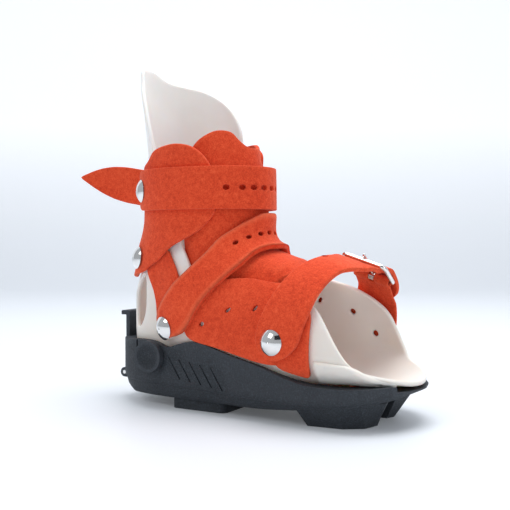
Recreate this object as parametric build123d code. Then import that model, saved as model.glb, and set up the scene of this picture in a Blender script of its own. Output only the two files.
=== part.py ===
from build123d import *
import os
import math
import numpy as np

# Ankle foot orthosis for a small child's foot, millimetres.
# +X points from heel to toe, +Y across the foot, +Z up; the ground is z = 0.
# "near" is the -Y side and "far" the +Y side.
# The hollow shell, the soft panels and the straps are layers over one smooth
# foot-and-leg form, each between two distances from that form.

# ---- driving dimensions ----
SHELL_T = 2.4                        # moulded shell wall
PANEL_IN, PANEL_OUT = 2.8, 4.75      # side panels, distance from the form
FLARE = 2.3                          # cuff panels lift this much over the heel panels
STRAP_IN, STRAP_OUT = 5.1, 7.4       # straps
STRAP_T = STRAP_OUT - STRAP_IN
TAB_OUT = 6.9                        # buckle tabs share STRAP_IN
TONGUE_IN, TONGUE_OUT = -2.6, -0.4   # tongue, inside the shell
STRAP_W = 21.5                       # strap width
TAB_W = STRAP_W * 0.965              # buckle tab width
STRAP_END_R = 8.0                    # rounding at the anchored end of a strap
HOLE_R = 1.4                         # strap and panel holes
RIVET_R, RIVET_H = 6.0, 2.6          # domed rivet caps
RIVET_GAP = 0.15                     # cap above its seat
POST_R = 1.6                         # rivet posts
POST_HOLE_R = 1.72
WIRE_R = 1.1                         # buckle frame wire
FRAME_L, FRAME_W = 13.0, 25.0        # buckle frame, between bar centres
FRAME_CORNER_R = 2.6
LOOP_IN, LOOP_OUT = 1.16, 2.55       # fold of the tab round the bar
PRONG_R = 0.8
CLEARANCE = 0.35                     # strap to buckle bar
LIFT = 0.3                           # extra height of the flat strip under each buckle
SOLE_BOTTOM = 5.5                    # underside of the sole plate above the ground
TRAY_GAP = 0.65                      # shell to sole tray
PIN_R = 1.0                          # heel latch pin
LATCH_X, LATCH_Z, LATCH_W = -58.4, 13.4, 18.0  # heel latch pivot and width
KNOB_X, KNOB_Z, KNOB_R = -27.0, 26.5, 8.0
KNOB_H = 3.4
GROOVE_X, GROOVE_PITCH, GROOVE_DEPTH = -12.0, 6.5, 0.55
GROOVE_COUNT = 5
SIDES = (-1, 1)                      # near, far

# ---- the form ----
LEG_Z = [10, 20, 35, 55, 75, 100, 125, 150, 170, 195]
LEG_BACK = [-46, -49, -52, -52.5, -47, -44, -44, -46, -49.5, -55]   # x
LEG_FRONT = [0, 0, 4, 10, 15, 19.5, 19, 14, 8, 1]                   # x
LEG_HALF = [18, 20, 22.5, 22.5, 21.5, 21.5, 22, 23, 22, 18]         # half width
FOOT_X = [-50, -30, 0, 25, 45, 60, 75, 90, 100, 112]
FOOT_HALF = [20, 25, 27, 28.5, 30, 31, 31.5, 28, 20, 8]             # half width
FOOT_TOP = [70, 80, 88, 79, 73, 71.5, 66, 54, 42, 30]               # z
FLOOR_X = [20, 45, 60, 75, 90, 112]
FLOOR_Z = [11.8, 12.2, 14.5, 18.5, 20.5, 21.5]
HEEL_FLOOR_Z = 11.8
FOOT_BACK_X = -14.0
FOOT_POWER = 2.3                     # superellipse exponent of the foot sections


def interp(x, xs, ys):
    """monotone cubic through (xs, ys), flat beyond the ends"""
    xs = np.asarray(xs, float)
    ys = np.asarray(ys, float)
    step = np.diff(xs)
    rate = np.diff(ys) / step
    slope = np.zeros_like(ys)
    before, after = rate[:-1], rate[1:]
    slope[1:-1] = np.where(before * after > 0,
                           2 * before * after / (before + after + 1e-12), 0)
    slope[0] = rate[0]
    slope[-1] = rate[-1]
    xc = np.clip(np.asarray(x, float), xs[0], xs[-1])
    i = np.clip(np.searchsorted(xs, xc) - 1, 0, len(xs) - 2)
    t = (xc - xs[i]) / step[i]
    return ((2 * t**3 - 3 * t**2 + 1) * ys[i] + (t**3 - 2 * t**2 + t) * step[i] * slope[i]
            + (-2 * t**3 + 3 * t**2) * ys[i + 1] + (t**3 - t**2) * step[i] * slope[i + 1])


def blend_max(a, b, width):
    share = np.clip(0.5 + 0.5 * (a - b) / width, 0, 1)
    return b * (1 - share) + a * share + width * share * (1 - share)


def blend_min(a, b, width):
    return -blend_max(-a, -b, width)


def form(points):
    """signed distance-like value of the foot-and-leg form, 0 on its surface"""
    x, y, z = points[..., 0], points[..., 1], points[..., 2]
    # leg: an ellipse at each height
    back, front = interp(z, LEG_Z, LEG_BACK), interp(z, LEG_Z, LEG_FRONT)
    half = interp(z, LEG_Z, LEG_HALF)
    mid, reach = (back + front) / 2, (front - back) / 2
    radius = np.sqrt(((x - mid) / reach) ** 2 + (y / half) ** 2)
    slope = (np.sqrt(((x - mid) / reach**2) ** 2 + (y / half**2) ** 2)
             / np.maximum(radius, 1e-6))
    leg = blend_max((radius - 1) / np.maximum(slope, 1e-6), HEEL_FLOOR_Z - z, 16.0)
    # foot: a superellipse at each x, with its widest level at z = waist
    half, top = interp(x, FOOT_X, FOOT_HALF), interp(x, FOOT_X, FOOT_TOP)
    floor = interp(x, FLOOR_X, FLOOR_Z)
    waist = 20.0 + 0.30 * (top - 20.0)
    n = FOOT_POWER
    height = np.where(z > waist, top - waist, waist - floor)
    rise = np.abs(z - waist) / height
    radius = (np.abs(y / half) ** n + rise**n + 1e-12) ** (1 / n)
    slope = (np.sqrt((np.abs(y / half) ** (n - 1) / half) ** 2
                     + (rise ** (n - 1) / height) ** 2)
             / np.maximum(radius, 1e-6) ** (n - 1))
    foot = blend_max((radius - 1) / np.maximum(slope, 1e-6), FOOT_BACK_X - x, 10.0)
    return blend_min(leg, foot, interp(z, [15, 45], [3.0, 14.0]))


def unit(vectors):
    return vectors / np.linalg.norm(vectors, axis=-1, keepdims=True)


def gradient(points, step=0.05):
    result = np.zeros(points.shape)
    for i in range(3):
        shift = np.zeros(3)
        shift[i] = step
        result[..., i] = (form(points + shift) - form(points - shift)) / (2 * step)
    return result


def normal(points):
    g = gradient(points)
    return g / np.maximum(np.linalg.norm(g, axis=-1, keepdims=True), 1e-9)


def snap(points):
    """moves points onto the form by damped Newton steps"""
    points = np.array(points, float)
    for _ in range(10):
        g = gradient(points)
        square = np.maximum((g**2).sum(-1, keepdims=True), 1e-6)
        points = points - g / square * form(points)[..., None] * 0.9
    return points


def ray_hit(start, aim, reach, level=0.0):
    """where the rays leave the surface on which the form has the given value"""
    low, high = np.zeros(aim.shape[:-1]), np.full(aim.shape[:-1], reach)
    for _ in range(30):
        mid = (low + high) / 2
        inside = form(start + aim * mid[..., None]) < level
        low, high = np.where(inside, mid, low), np.where(inside, high, mid)
    return start + aim * low[..., None]


# Sections of the form fan round a pivot in front of the ankle. A station is
# negative toward the toe, 0 to TURN round the heel, above TURN up the leg.
PIVOT_X, PIVOT_Z, PIVOT_R = 48.0, 100.0, 30.0
TURN = PIVOT_R * math.pi / 2
FAN_DEG = [0, 22, 45, 68, 90]
FAN_DEPTH = [54, 68, 80, 72, 61]     # pivot to section centre
TOE_DEPTH_RATE = 0.16


def fan(station):
    """centre of the section at a station and its outward direction"""
    turn = np.clip(station / PIVOT_R, 0, math.pi / 2)
    out = np.stack([-np.sin(turn), np.zeros_like(turn), -np.cos(turn)], -1)
    pivot = np.stack([PIVOT_X + np.where(station < 0, -station, 0), np.zeros_like(turn),
                      PIVOT_Z + np.where(station > TURN, station - TURN, 0)], -1)
    depth = interp(turn * 180 / math.pi, FAN_DEG, FAN_DEPTH)
    depth = np.where(station < 0, FAN_DEPTH[0] + (-station) * TOE_DEPTH_RATE, depth)
    return pivot + out * depth[..., None], out


def tube(station, angle, offset=0.0):
    """point at a station and an angle (0 at sole and back, pi at instep and
    shin, + towards +Y), offset from the form"""
    station, angle = np.broadcast_arrays(np.asarray(station, float), np.asarray(angle, float))
    centre, out = fan(station)
    aim = np.cos(angle)[..., None] * out + np.sin(angle)[..., None] * np.array([0, 1.0, 0])
    points = ray_hit(centre, aim, 75.0)
    if offset == 0:
        return points
    return points + normal(points) * offset


def station_of(point):
    """station and angle of a point, the inverse of tube"""
    x, y, z = point
    if x > PIVOT_X and z < PIVOT_Z:
        station = -(x - PIVOT_X)
    elif z > PIVOT_Z:
        station = TURN + z - PIVOT_Z
    else:
        station = math.atan2(PIVOT_X - x, PIVOT_Z - z) * PIVOT_R
    centre, out = fan(np.asarray(station, float))
    return station, math.atan2(y, float((np.array(point, float) - centre) @ out))


def ease(t):
    t = np.clip(t, 0, 1)
    return t * t * (3 - 2 * t)


def arc_lengths(points):
    return np.r_[0, np.cumsum(np.linalg.norm(np.diff(points, axis=0), axis=1))]


def resample(points, n):
    """n points evenly along a smooth curve through points"""
    points = np.asarray(points, float)
    t = arc_lengths(points)
    fine = np.linspace(0, t[-1], 12 * n)
    curve = np.stack([interp(fine, t, points[:, i]) for i in range(3)], -1)
    length = arc_lengths(curve)
    even = np.linspace(0, length[-1], n)
    return np.stack([np.interp(even, length, curve[:, i]) for i in range(3)], -1)


def ruled_grid(edge_a, edge_b, n, m):
    """n by m points on the form between two boundary curves"""
    a, b = resample(edge_a, n), resample(edge_b, n)
    t = np.linspace(0, 1, m)[None, :, None]
    return snap(a[:, None] * (1 - t) + b[:, None] * t)


# ---- solids from grids of points ----
def skin(grid):
    """smooth face through a grid of points, loosened until its area is right"""
    u, w = grid[1:] - grid[:-1], grid[:, 1:] - grid[:, :-1]
    cells = np.cross(u[:, :-1] + u[:, 1:], w[:-1] + w[1:]) / 4
    area = np.linalg.norm(cells, axis=-1).sum()
    rows = [[Vector(*map(float, p)) for p in row] for row in grid]
    for tol in (0.08, 0.12):
        face = Face.make_surface_from_array_of_points(rows, tol=tol, min_deg=3, max_deg=3)
        if abs(face.area / area - 1) < 0.012:
            return face
    return Shell.make_loft([Wire([Edge.make_spline(row)]) for row in rows]).faces()[0]


def one(shape):
    """the largest solid of a boolean result"""
    return max(shape.solids(), key=lambda solid: solid.volume)


def cut_all(solid, cutters):
    for cutter in cutters:
        solid = one(solid - cutter)
    return solid


def slab(grid_in, grid_out):
    """closed solid between two grids of points with the same rows and columns"""
    inner, outer = skin(grid_in), skin(grid_out)
    rest = list(outer.edges())
    sides = []
    for edge in inner.edges():
        match = min(rest, key=lambda other: (other @ 0.5 - edge @ 0.5).length)
        rest.remove(match)
        sides.append(Face.make_surface_from_curves(edge, match))
    solid = Solid(Shell([inner, outer] + sides))
    if not solid.is_valid or solid.volume <= 0:
        solid = solid.fix()
    return one(solid) if solid.solids() else solid


def panel(edge_a, edge_b, columns=12, flare=0.0):
    """side panel between two boundary curves; flare lifts it off the form
    along the first curve, except at the back and high on the leg"""
    grid = ruled_grid(edge_a, edge_b, 26, columns)
    out = normal(grid)
    t = np.linspace(0, 1, columns)[None, :, None]
    lift = (flare * (1 - ease((t - 0.10) / 0.25))
            * interp(grid[..., :1], [-50, -37], [0.15, 1.0])
            * interp(grid[..., 2:], [82, 95], [1.0, 0.0]))
    return slab(grid + out * (PANEL_IN + lift), grid + out * (PANEL_OUT + lift))


def surface_plane(point):
    """plane tangent to the form at the surface point nearest to point"""
    on_form = snap(np.array(point, float)[None])
    return Plane(origin=tuple(on_form[0]), z_dir=tuple(normal(on_form)[0]))


def drill(point, radius, low=-6.0, high=16.0):
    """cylinder along the form's normal, between two distances from it"""
    return surface_plane(point) * Pos(0, 0, (low + high) / 2) * Cylinder(radius, high - low)


def y_cylinder(radius, length):
    return Rot(90, 0, 0) * Cylinder(radius, length)


def mirror_y(points):
    return [(x, -y, z) for x, y, z in points]


# ---- rivets: point near the surface, distance of the cap's seat ----
RIVETS = {
    "ankle_near": ((-40, -17.5, 112), STRAP_OUT),
    "instep_near": ((-16.2, -29, 41.9), STRAP_OUT),
    "forefoot_near": ((47.5, -31, 38.5), STRAP_OUT),
    "cuff_near": ((-41, -20, 76.5), PANEL_OUT + 3.2),
    "cuff_far": ((-41, 20, 76.5), PANEL_OUT + 3.2),
    "ankle_far": ((-40, 17.5, 112), TAB_OUT),
    "instep_far": ((-16.2, 29, 41.9), TAB_OUT),
    "forefoot_far": ((68.5, 31, 40), TAB_OUT),
}
OUTER_RIVET = "forefoot_far"         # holds tab and panel only, not the shell
posts = {name: drill(point, POST_HOLE_R) for name, (point, seat) in RIVETS.items()}


def build_rivets():
    """domed caps with their posts, and the washers inside the shell"""
    caps, washers = [], []
    sphere_r = (RIVET_R**2 + RIVET_H**2) / (2 * RIVET_H)
    for name, (point, seat) in RIVETS.items():
        plane = surface_plane(point)
        base = seat + RIVET_GAP
        dome = (Pos(0, 0, base + RIVET_H - sphere_r) * Sphere(sphere_r)
                & Pos(0, 0, base + 5) * Cylinder(RIVET_R, 10))
        low = 2.9 if name == OUTER_RIVET else -2.1
        high = base + 0.5
        post = Pos(0, 0, (high + low) / 2) * Cylinder(POST_R, high - low)
        caps.append(one(plane * (dome + post)))
        if name != OUTER_RIVET:
            washer = Cylinder(3.6, 1.1) - Cylinder(POST_HOLE_R, 3)
            washers.append(one(plane * (Pos(0, 0, -1.2) * washer)))
    return Compound(caps), Compound(washers)


# ---- shell: trim line points (x, y, z) of each side, toe to top of the leg ----
TRIM_NEAR = [
    (104, -12, 24), (94, -24, 25.5), (86, -29, 28), (82.3, -31, 31), (76.9, -32, 39),
    (71.5, -31, 47.6), (65.6, -29, 54.9), (50.6, -25.5, 62.7), (42, -24, 66.3),
    (28, -24.5, 66), (14, -26, 64.5), (0, -27.5, 67), (-6.9, -25, 76.9), (-12, -23, 84),
    (-19, -21, 100), (-27, -20, 118), (-33.9, -19, 133.3), (-37.5, -18, 144),
    (-46.4, -12, 164.2), (-53.1, -7, 173.9), (-54, -5, 180)]
TRIM_FAR = [
    (104, 12, 24), (98, 20, 25), (90, 28, 27), (86.2, 31, 33), (82.4, 31, 41),
    (78.5, 30, 49.1), (70.1, 29, 57.6), (59.4, 28, 64.6), (47.7, 26, 69.2), (30, 26, 74),
    (12, 26, 80), (0, 25, 86), (-3, 23, 100), (-3.5, 23, 120), (-3.8, 22, 141.2),
    (-6.5, 21, 149.5), (-12.4, 18, 158.9), (-21.6, 12, 169.8), (-40, 8, 176), (-47, 6, 180)]
SHELL_TOE_X, SHELL_TOP_Z = 106.5, 181.0
WINDOW_AT = (-43.0, 18.0, 54.0)      # oval window, mirrored to both sides
WINDOW_RADII = (8.5, 13)
FAR_VENTS = [(41, 28, 54), (59, 30, 48.5), (71, 30, 37.5)]  # through shell and panel


def build_shell():
    rows = np.concatenate([
        np.linspace(PIVOT_X - SHELL_TOE_X, 0, 16), np.linspace(0, TURN, 16)[1:],
        np.linspace(TURN, TURN + SHELL_TOP_Z - PIVOT_Z, 17)[1:]])
    near, far = [
        interp(rows, *zip(*sorted(station_of(p) for p in trim)))[:, None]
        for trim in (TRIM_NEAR, TRIM_FAR)]
    t = np.linspace(0, 1, 33)
    grid = tube(rows[:, None], near * (1 - t) + far * t)
    shell = slab(grid, grid + normal(grid) * SHELL_T)
    x, y, z = WINDOW_AT
    for side in SIDES:
        plane = surface_plane((x, side * y, z))
        plane = Plane(origin=plane.origin, x_dir=Vector(0, 0, 1).cross(plane.z_dir),
                      z_dir=plane.z_dir)
        shell = one(shell - plane * extrude(Ellipse(*WINDOW_RADII), 10, both=True))
    shell = cut_all(shell, [drill(p, HOLE_R) for p in FAR_VENTS])
    return cut_all(shell, [post for name, post in posts.items() if name != OUTER_RIVET])


# ---- side panels: boundary points (x, y, z) ----
# cuff panels round the leg, back to front
CUFF_LOW = [
    (-49, -6, 64), (-45, -16, 65), (-38.3, -24.7, 66.6), (-33.3, -26.1, 70.4),
    (-24.2, -30.5, 74.8), (-14.8, -30.4, 81.5), (-6.1, -29.8, 86), (1.8, -28.1, 90),
    (7.4, -25.7, 94.9), (11, -23.8, 100)]
CUFF_TOP = [
    (-46, -6, 124), (-43, -16, 126), (-38.5, -21.7, 128.2), (-34.5, -24.4, 131.9),
    (-26.1, -27.7, 134.2), (-15.4, -29.4, 135.2), (-6.5, -29, 134.2), (1.3, -27.2, 130.7),
    (6.1, -25.5, 126.1), (10.5, -23.5, 119)]
CUFF_TOP_FAR = [
    (-46, 6, 124), (-43, 16, 126), (-38, 22, 129), (-34, 25, 131), (-26, 28, 133),
    (-15, 29.5, 135), (-6, 29, 136), (2, 27, 136.5), (8, 24, 136), (13, 20, 132)]
# heel panels under the instep strap, top to bottom
HEEL_BACK = [
    (-38.9, -22.5, 69.5), (-34.5, -24.5, 64.5), (-28.8, -26.9, 57), (-26.9, -27.8, 52.5),
    (-27.4, -27.6, 45.7), (-27, -28, 39)]
HEEL_FRONT = [
    (-18.2, -28.5, 81.0), (-13.8, -29.3, 75.4), (-9.3, -30.3, 69), (-6.4, -31, 62),
    (-5.6, -31, 52), (-6, -31, 39)]
# base panels along the foot, back to front
BASE_TOP = [
    (-4.0, -31, 60.5), (2.4, -30.8, 63.8), (5, -30.2, 66.4), (14.8, -28.2, 67.9),
    (19.8, -27, 69), (23.8, -26.1, 69.5), (29.1, -25.6, 69.3), (33.5, -25.4, 68.7),
    (38.5, -25.5, 67.6), (43, -25.8, 66.6), (52, -29, 63), (60, -31.5, 58.6), (65.5, -34, 52)]
BASE_LOW = [
    (-4.0, -31, 38), (2, -31, 37.6), (8, -31, 36.6), (15, -31.5, 35), (23, -32, 33),
    (31, -32.5, 31), (40, -33, 28.8), (50, -33.5, 26.4), (58, -33.5, 24.6), (65, -33, 23.6)]
# the far base panel reaches further toward the toe
BASE_LOW_FAR = mirror_y(BASE_LOW[:-2]) + [(60, 33.5, 24.6), (69, 33.5, 24), (77, 33, 24)]
BASE_TOP_FAR = ([(x, -y, z - 1.5) for x, y, z in BASE_TOP[:-2]]
                + [(60, 31, 58.6), (70, 32, 54), (77, 33, 44)])
VENTS = [(5.1, -32, 44.5), (20.2, -32.5, 52.3), (35.4, -33, 54)]


def build_cuff(low, top, side):
    cuff = panel(low, top, columns=20, flare=FLARE)
    return cut_all(cuff, [posts["ankle_" + side], posts["cuff_" + side]])


def build_heel_panel(back, front, side):
    return one(panel(back, front) - posts["instep_" + side])


def build_base_panel(low, top, vents, side):
    holes = [drill(p, HOLE_R) for p in vents]
    return cut_all(panel(low, top), holes + [posts["forefoot_" + side]])


# ---- tongue over shin and instep ----
TONGUE_STATIONS = [14, 30, 38, 47, 60, 75, 88]
TONGUE_HALF = [0.75, 1.0, 1.25, 1.4, 1.45, 1.4, 1.2]   # half angle, radians


def build_tongue():
    rows = np.linspace(14, TURN + 41, 30)
    half = interp(rows, TONGUE_STATIONS, TONGUE_HALF)
    grid = tube(rows[:, None], math.pi + half[:, None] * np.linspace(-1, 1, 19)[None, :])
    out = normal(grid)
    return slab(grid + out * TONGUE_IN, grid + out * TONGUE_OUT)


# ---- straps: two edge curves each, near anchor to far anchor ----
ring = np.linspace(-0.32, -2 * math.pi + 0.34, 60)
ANKLE = (tube(TURN + 1.5, ring, 6.0), tube(TURN + 23.0, ring, 6.0))
# near half of the instep strap edges, up to the middle
INSTEP_UP = [
    (-27.5, -33, 40), (-24.5, -32.6, 47.9), (-19.5, -34.2, 53.8), (-14.4, -34.5, 59),
    (-9.4, -33.7, 65.1), (-1, -31.9, 73.1), (5.7, -29.5, 79.6), (11.3, -25.4, 87),
    (16.2, -21.1, 91.4), (21.1, -15.7, 95.5), (24.6, -10, 98), (26.4, -4.9, 99.4)]
INSTEP_LOW = [
    (-8.5, -34.2, 34.6), (-5.5, -34.5, 38.9), (-0.9, -34.8, 45.6), (3.6, -34.4, 53.2),
    (8.8, -33.5, 59.7), (13.8, -32.1, 64.6), (18.2, -30.1, 69), (24, -25.6, 74.8),
    (29.2, -17.1, 81.1), (32.5, -9.2, 83), (34.2, -3, 83.4)]
INSTEP = [edge + mirror_y(edge)[::-1] for edge in (INSTEP_UP, INSTEP_LOW)]
FOREFOOT = (
    [(37, -35, 30.5), (37.5, -36, 36), (39.5, -36, 46.5), (44.3, -33.5, 59), (49.4, -28, 69),
     (54, -20, 75.5), (58.6, -10, 78), (60.5, 0, 78), (60.5, 10, 77), (60, 19, 72.5),
     (59, 26, 65), (58.5, 31, 55), (58, 34, 44), (58, 34, 31)],
    [(59, -36, 30.5), (60.7, -36.5, 38), (64.9, -35, 51), (68, -31, 61), (71.2, -23, 68),
     (74, -14, 71.5), (77, -6, 71.5), (79.5, 2, 70), (81, 11, 67), (81.5, 19, 62.5),
     (81.5, 26, 55), (81, 31, 47), (80, 33, 39), (79, 33, 31)])
ANKLE_HOLES = [tuple(tube(TURN + 12.3, -math.pi + angle))
               for angle in (0.59, 0.41, 0.26, 0.12, -0.02, -0.17)]
INSTEP_HOLES = [(18.6, -21.8, 85), (23, -15.9, 88.4), (26.4, -8.8, 90.6),
                (27.7, -1.4, 91.4), (26.8, 6.2, 90.8), (23.6, 13.2, 88.8)]
FOREFOOT_HOLES = [(60.9, -7.3, 78.3)]
COLUMNS = 9                          # points across a strap
ACROSS = np.linspace(-1, 1, COLUMNS)


class Band:
    """strip over the form in arc length s, fraction v across (-1 to 1) and
    distance w, flat across its width near the buckle so the bar lies straight"""

    def __init__(self, edges, bar_from_end):
        self.points = ruled_grid(*edges, 90, COLUMNS)
        self.normals = normal(self.points)
        self.s = arc_lengths(self.points[:, COLUMNS // 2])
        self.length = self.s[-1]
        self.bar = self.length - bar_from_end
        middle = self.bar - FRAME_L / 2
        width = self.sample(middle, 1)[0] - self.sample(middle, -1)[0]
        # the frame runs from the bar in the tab's fold to the bar over the strap
        near_bar, out = self.sample(self.bar, 0)
        far_bar, far_out = self.sample(self.bar - FRAME_L, 0)
        origin = near_bar + out * (STRAP_IN + LOOP_OUT + LIFT)
        run = far_bar + far_out * (STRAP_OUT + CLEARANCE + WIRE_R + LIFT) - origin
        self.run = float(np.linalg.norm(run))
        along = unit(run)
        self.across = unit(width - along * (width @ along))
        up = np.cross(along, self.across)
        if up @ out < 0:
            up = -up
        self.plane = Plane(origin=tuple(origin), x_dir=tuple(along), z_dir=tuple(up))

    def sample(self, s, v):
        """point on the form and unit normal at s, for one v or an array"""
        place = (np.clip(np.asarray(v, float), -1, 1) + 1) / 2 * (COLUMNS - 1)
        left = np.clip(np.floor(place).astype(int), 0, COLUMNS - 2)
        part = np.asarray(place - left)[..., None]
        found = []
        for grid in (self.points, self.normals):
            row = np.array([[np.interp(s, self.s, grid[:, q, i]) for i in range(3)]
                            for q in range(COLUMNS)])
            found.append(row[left] * (1 - part) + row[left + 1] * part)
        return found[0], unit(found[1])

    def row(self, s, v, w):
        """points across the strip at s and distance w"""
        points, normals = self.sample(s, v)
        curved = points + normals * w
        centre, out = self.sample(s, 0)
        out = unit(out - (out @ self.across) * self.across)
        flat = centre + out * (w + LIFT) + self.across * (v * STRAP_W / 2)[:, None]
        share = (ease((s - (self.bar - FRAME_L - 12)) / 9)
                 * ease(((self.bar + 13) - s) / 8))
        return curved * (1 - share) + flat * share

    def grid(self, stations, widths, heights):
        """rows at the stations, each with its width factor and distance"""
        return np.array([self.row(s, ACROSS * width, height)
                         for s, width, height in zip(stations, widths, heights)])


def strap_rise(s, bar, tail_height):
    """inner distance of the strap: low, over the folded tab, then down to the tab"""
    top = STRAP_IN + 2 * LOOP_OUT + 0.3
    up = STRAP_IN + (top - STRAP_IN) * ease((s - (bar - FRAME_L)) / (FRAME_L - 2.8))
    return up - (top - tail_height) * ease((s - (bar + 2.8)) / 9)


def rounding(distance, radius):
    """width factor that rounds an end, from the distance to that end"""
    t = np.clip(distance / radius, 0, 1)
    return np.maximum(np.sqrt(np.clip(1 - (1 - t) ** 2, 0, 1)), 0.25)


def strap_stations(start, end, start_r, end_r, n):
    """stations crowded at the rounded ends, none closer than the gap"""
    gap = 0.12
    first = start + start_r * (1 - np.cos(np.linspace(0, math.pi / 2, 6)))
    last = end - end_r * (1 - np.cos(np.linspace(math.pi / 2, 0, 6)))
    every = np.concatenate([first, np.linspace(first[-1], last[0], n)[1:-1], last])
    keep = [every[0]]
    for s in every[1:-1]:
        if s - keep[-1] > gap and every[-1] - s > gap:
            keep.append(s)
    return np.array(keep + [every[-1]])


def pierce_strap(strap, band, post, holes):
    """prong slot, rivet hole and adjusting holes"""
    slot = band.plane * Pos(7.4, 0, 1) * Box(10.6, 2.9, 16)
    return cut_all(strap, [slot, post] + [drill(p, HOLE_R, 2.0, 20.0) for p in holes])


def build_strap(band, tail, post, holes):
    """strap that ends a distance tail past the buckle bar"""
    end, end_r = band.bar + tail, 7.0
    s = strap_stations(0.0, end, STRAP_END_R, end_r, 48)
    low = strap_rise(s, band.bar, TAB_OUT + 0.35)
    width = rounding(s, STRAP_END_R) * rounding(end - s, end_r)
    strap = slab(band.grid(s, width, low), band.grid(s, width, low + STRAP_T))
    return pierce_strap(strap, band, post, holes)


ANKLE_TIP = np.array([-112.0, 12.0, 124.0])
# width factor along the free end
TAIL_AT = [0, 0.55, 0.8, 0.93, 1.0]
TAIL_WIDTH = [1, 0.95, 0.62, 0.32, 0.12]


def build_ankle_strap(band):
    """rings the leg, then its pointed free end runs straight out behind"""
    s = strap_stations(0.0, band.bar + 16.0, STRAP_END_R, 0.001, 48)
    low = strap_rise(s, band.bar, 8.6)
    width = rounding(s, STRAP_END_R)
    inner, outer = band.grid(s, width, low), band.grid(s, width, low + STRAP_T)
    leave = inner[-1].mean(0)
    reach = float(np.linalg.norm(ANKLE_TIP - leave))
    aim = (ANKLE_TIP - leave) / reach
    heading = unit((inner[-1] - inner[-3]).mean(0))
    out = unit(np.cross(ANKLE_TIP - leave, [0, 0, 1.0]))
    if out[1] < 0:
        out = -out
    # the section turns from its slant on the leg to an upright one
    upright = np.array([0, 0, 1.0]) * (ACROSS * STRAP_W / 2)[:, None]
    if (inner[-1][-1] - inner[-1][0])[2] < 0:
        upright = upright[::-1]
    grids = []
    for grid, target in ((inner, upright), (outer, upright + out * STRAP_T)):
        section = grid[-1] - leave
        tail = []
        for q in np.linspace(0.08, 1.0, 16):
            # Hermite curve from the leg to the tip
            centre = ((2*q**3 - 3*q**2 + 1) * leave + (q**3 - 2*q**2 + q) * heading * reach
                      + (-2*q**3 + 3*q**2) * ANKLE_TIP + (q**3 - q**2) * aim * reach)
            turn = ease(q * 3)
            row = section * (1 - turn) + target * turn
            mid = row.mean(0)
            factor = float(np.interp(q, TAIL_AT, TAIL_WIDTH))
            tail.append(centre + mid + (row - mid) * factor)
        grids.append(np.concatenate([grid, np.array(tail)]))
    return pierce_strap(slab(*grids), band, posts["ankle_near"], ANKLE_HOLES)


# ---- buckles ----
def build_frame(band):
    half = FRAME_W / 2
    corners = [(0, -half, 0), (band.run, -half, 0), (band.run, half, 0), (0, half, 0)]
    path = FilletPolyline(*corners, radius=FRAME_CORNER_R, close=True)
    path = Wire(path.edges())
    profile = Plane(origin=path @ 0, z_dir=path % 0) * Circle(WIRE_R)
    return one(band.plane * sweep(profile, path=path, transition=Transition.ROUND))


def build_prong(band):
    """eye round the bar, straight shaft and ball tip resting on the far bar"""
    eye = Rot(90, 0, 0) * (Cylinder(2.1, 3.0) - Cylinder(LOOP_IN, 4.0))
    root = Vector(1.45, 0, 1.05)
    end = Vector(band.run + 1.7, 0, WIRE_R + 0.12 + PRONG_R)
    run = end - root
    shaft = (Plane(origin=root, z_dir=run) * Pos(0, 0, run.length / 2)
             * Cylinder(PRONG_R, run.length))
    tip = Pos(*tuple(end)) * Sphere(PRONG_R)
    return one(band.plane * ((eye + shaft + tip) - y_cylinder(LOOP_IN, 6.0)))


def build_tab(band, post):
    """tab folded round the bar, notched in the middle for the prong"""
    end, end_r = band.length, 8.0
    s = strap_stations(band.bar + 1.2, end, 0.001, end_r, 22)
    width = rounding(end - s, end_r) * (TAB_W / STRAP_W)
    body = slab(*[band.grid(s, width, np.full(len(s), w)) for w in (STRAP_IN, TAB_OUT)])
    tube_round_bar = Cylinder(LOOP_OUT, TAB_W) - Cylinder(LOOP_IN, STRAP_W + 4)
    fold = band.plane * (Rot(90, 0, 0) * tube_round_bar)
    body = body - band.plane * y_cylinder(LOOP_IN + 0.6, STRAP_W + 4)
    notch = band.plane * Box(2 * LOOP_OUT + 2.6, 3.4, 2 * LOOP_OUT + 1)
    return one(one((body + fold) - notch) - post)


# ---- sole: tray, cleats, latch lugs ----
OUT_X = [-60, -57.6, -50, -40, -25, 0, 25, 50, 70, 85, 95, 103, 108]
OUT_HALF = [0, 12.5, 21.5, 27, 30, 31.4, 33.0, 34.9, 36.2, 34.8, 28.5, 18.5, 0]
UNDER_X = [-60, -55, -45, 30, 60, 85, 98, 108]
UNDER_Z = [10.5, 7.6, SOLE_BOTTOM, SOLE_BOTTOM, 7.6, 11.0, 13.6, 17.2]
CREASE_X = [-60, -45, -10, 25, 50, 85, 100, 108]
CREASE_Z = [14.6, 13.0, 12.8, 11.2, 10.6, 13.4, 16.0, 18.4]
SOLE_X = [-59.9, -59.2, -58, -56, -52, -46, -38, -28, -15, 0, 15, 30, 45, 58, 70, 80, 88,
          94, 99, 103, 106, 107.4, 107.95]
# tray cavity: (height of the section, height at which the form is measured)
CAVITY = [(7.3, 9.4), (8.8, 10.2), (10.8, 11.6), (13.2, 14.0), (16.5, 17.2), (21, 21.6),
          (27, 27.4), (34, 34.2), (40, 40)]
# rim of the tray in side view (x, z)
RIM = [(-70, 34), (-40, 34), (-24, 33.2), (-18, 31.7), (-10, 33.6), (-2, 35.4), (6, 34.6),
       (16, 32), (28, 29), (40, 26.2), (52, 22.6), (64, 20.2), (82, 19.6), (100, 20.4),
       (115, 21)]
RIM_CUT_TOP = 60
# front cleat outlines (x, y) of the near side, on the ground and inside the sole
CLEAT_LOW = [(61, -27.5), (78, -26), (86.5, -20), (89, -11), (87, -6), (61, -6)]
CLEAT_HIGH = [(55.5, -34.4), (76, -34.9), (88.5, -30.2), (96, -18), (93, -4.5), (56.5, -4.5)]
CLEAT_TOP = 12.2


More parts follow.
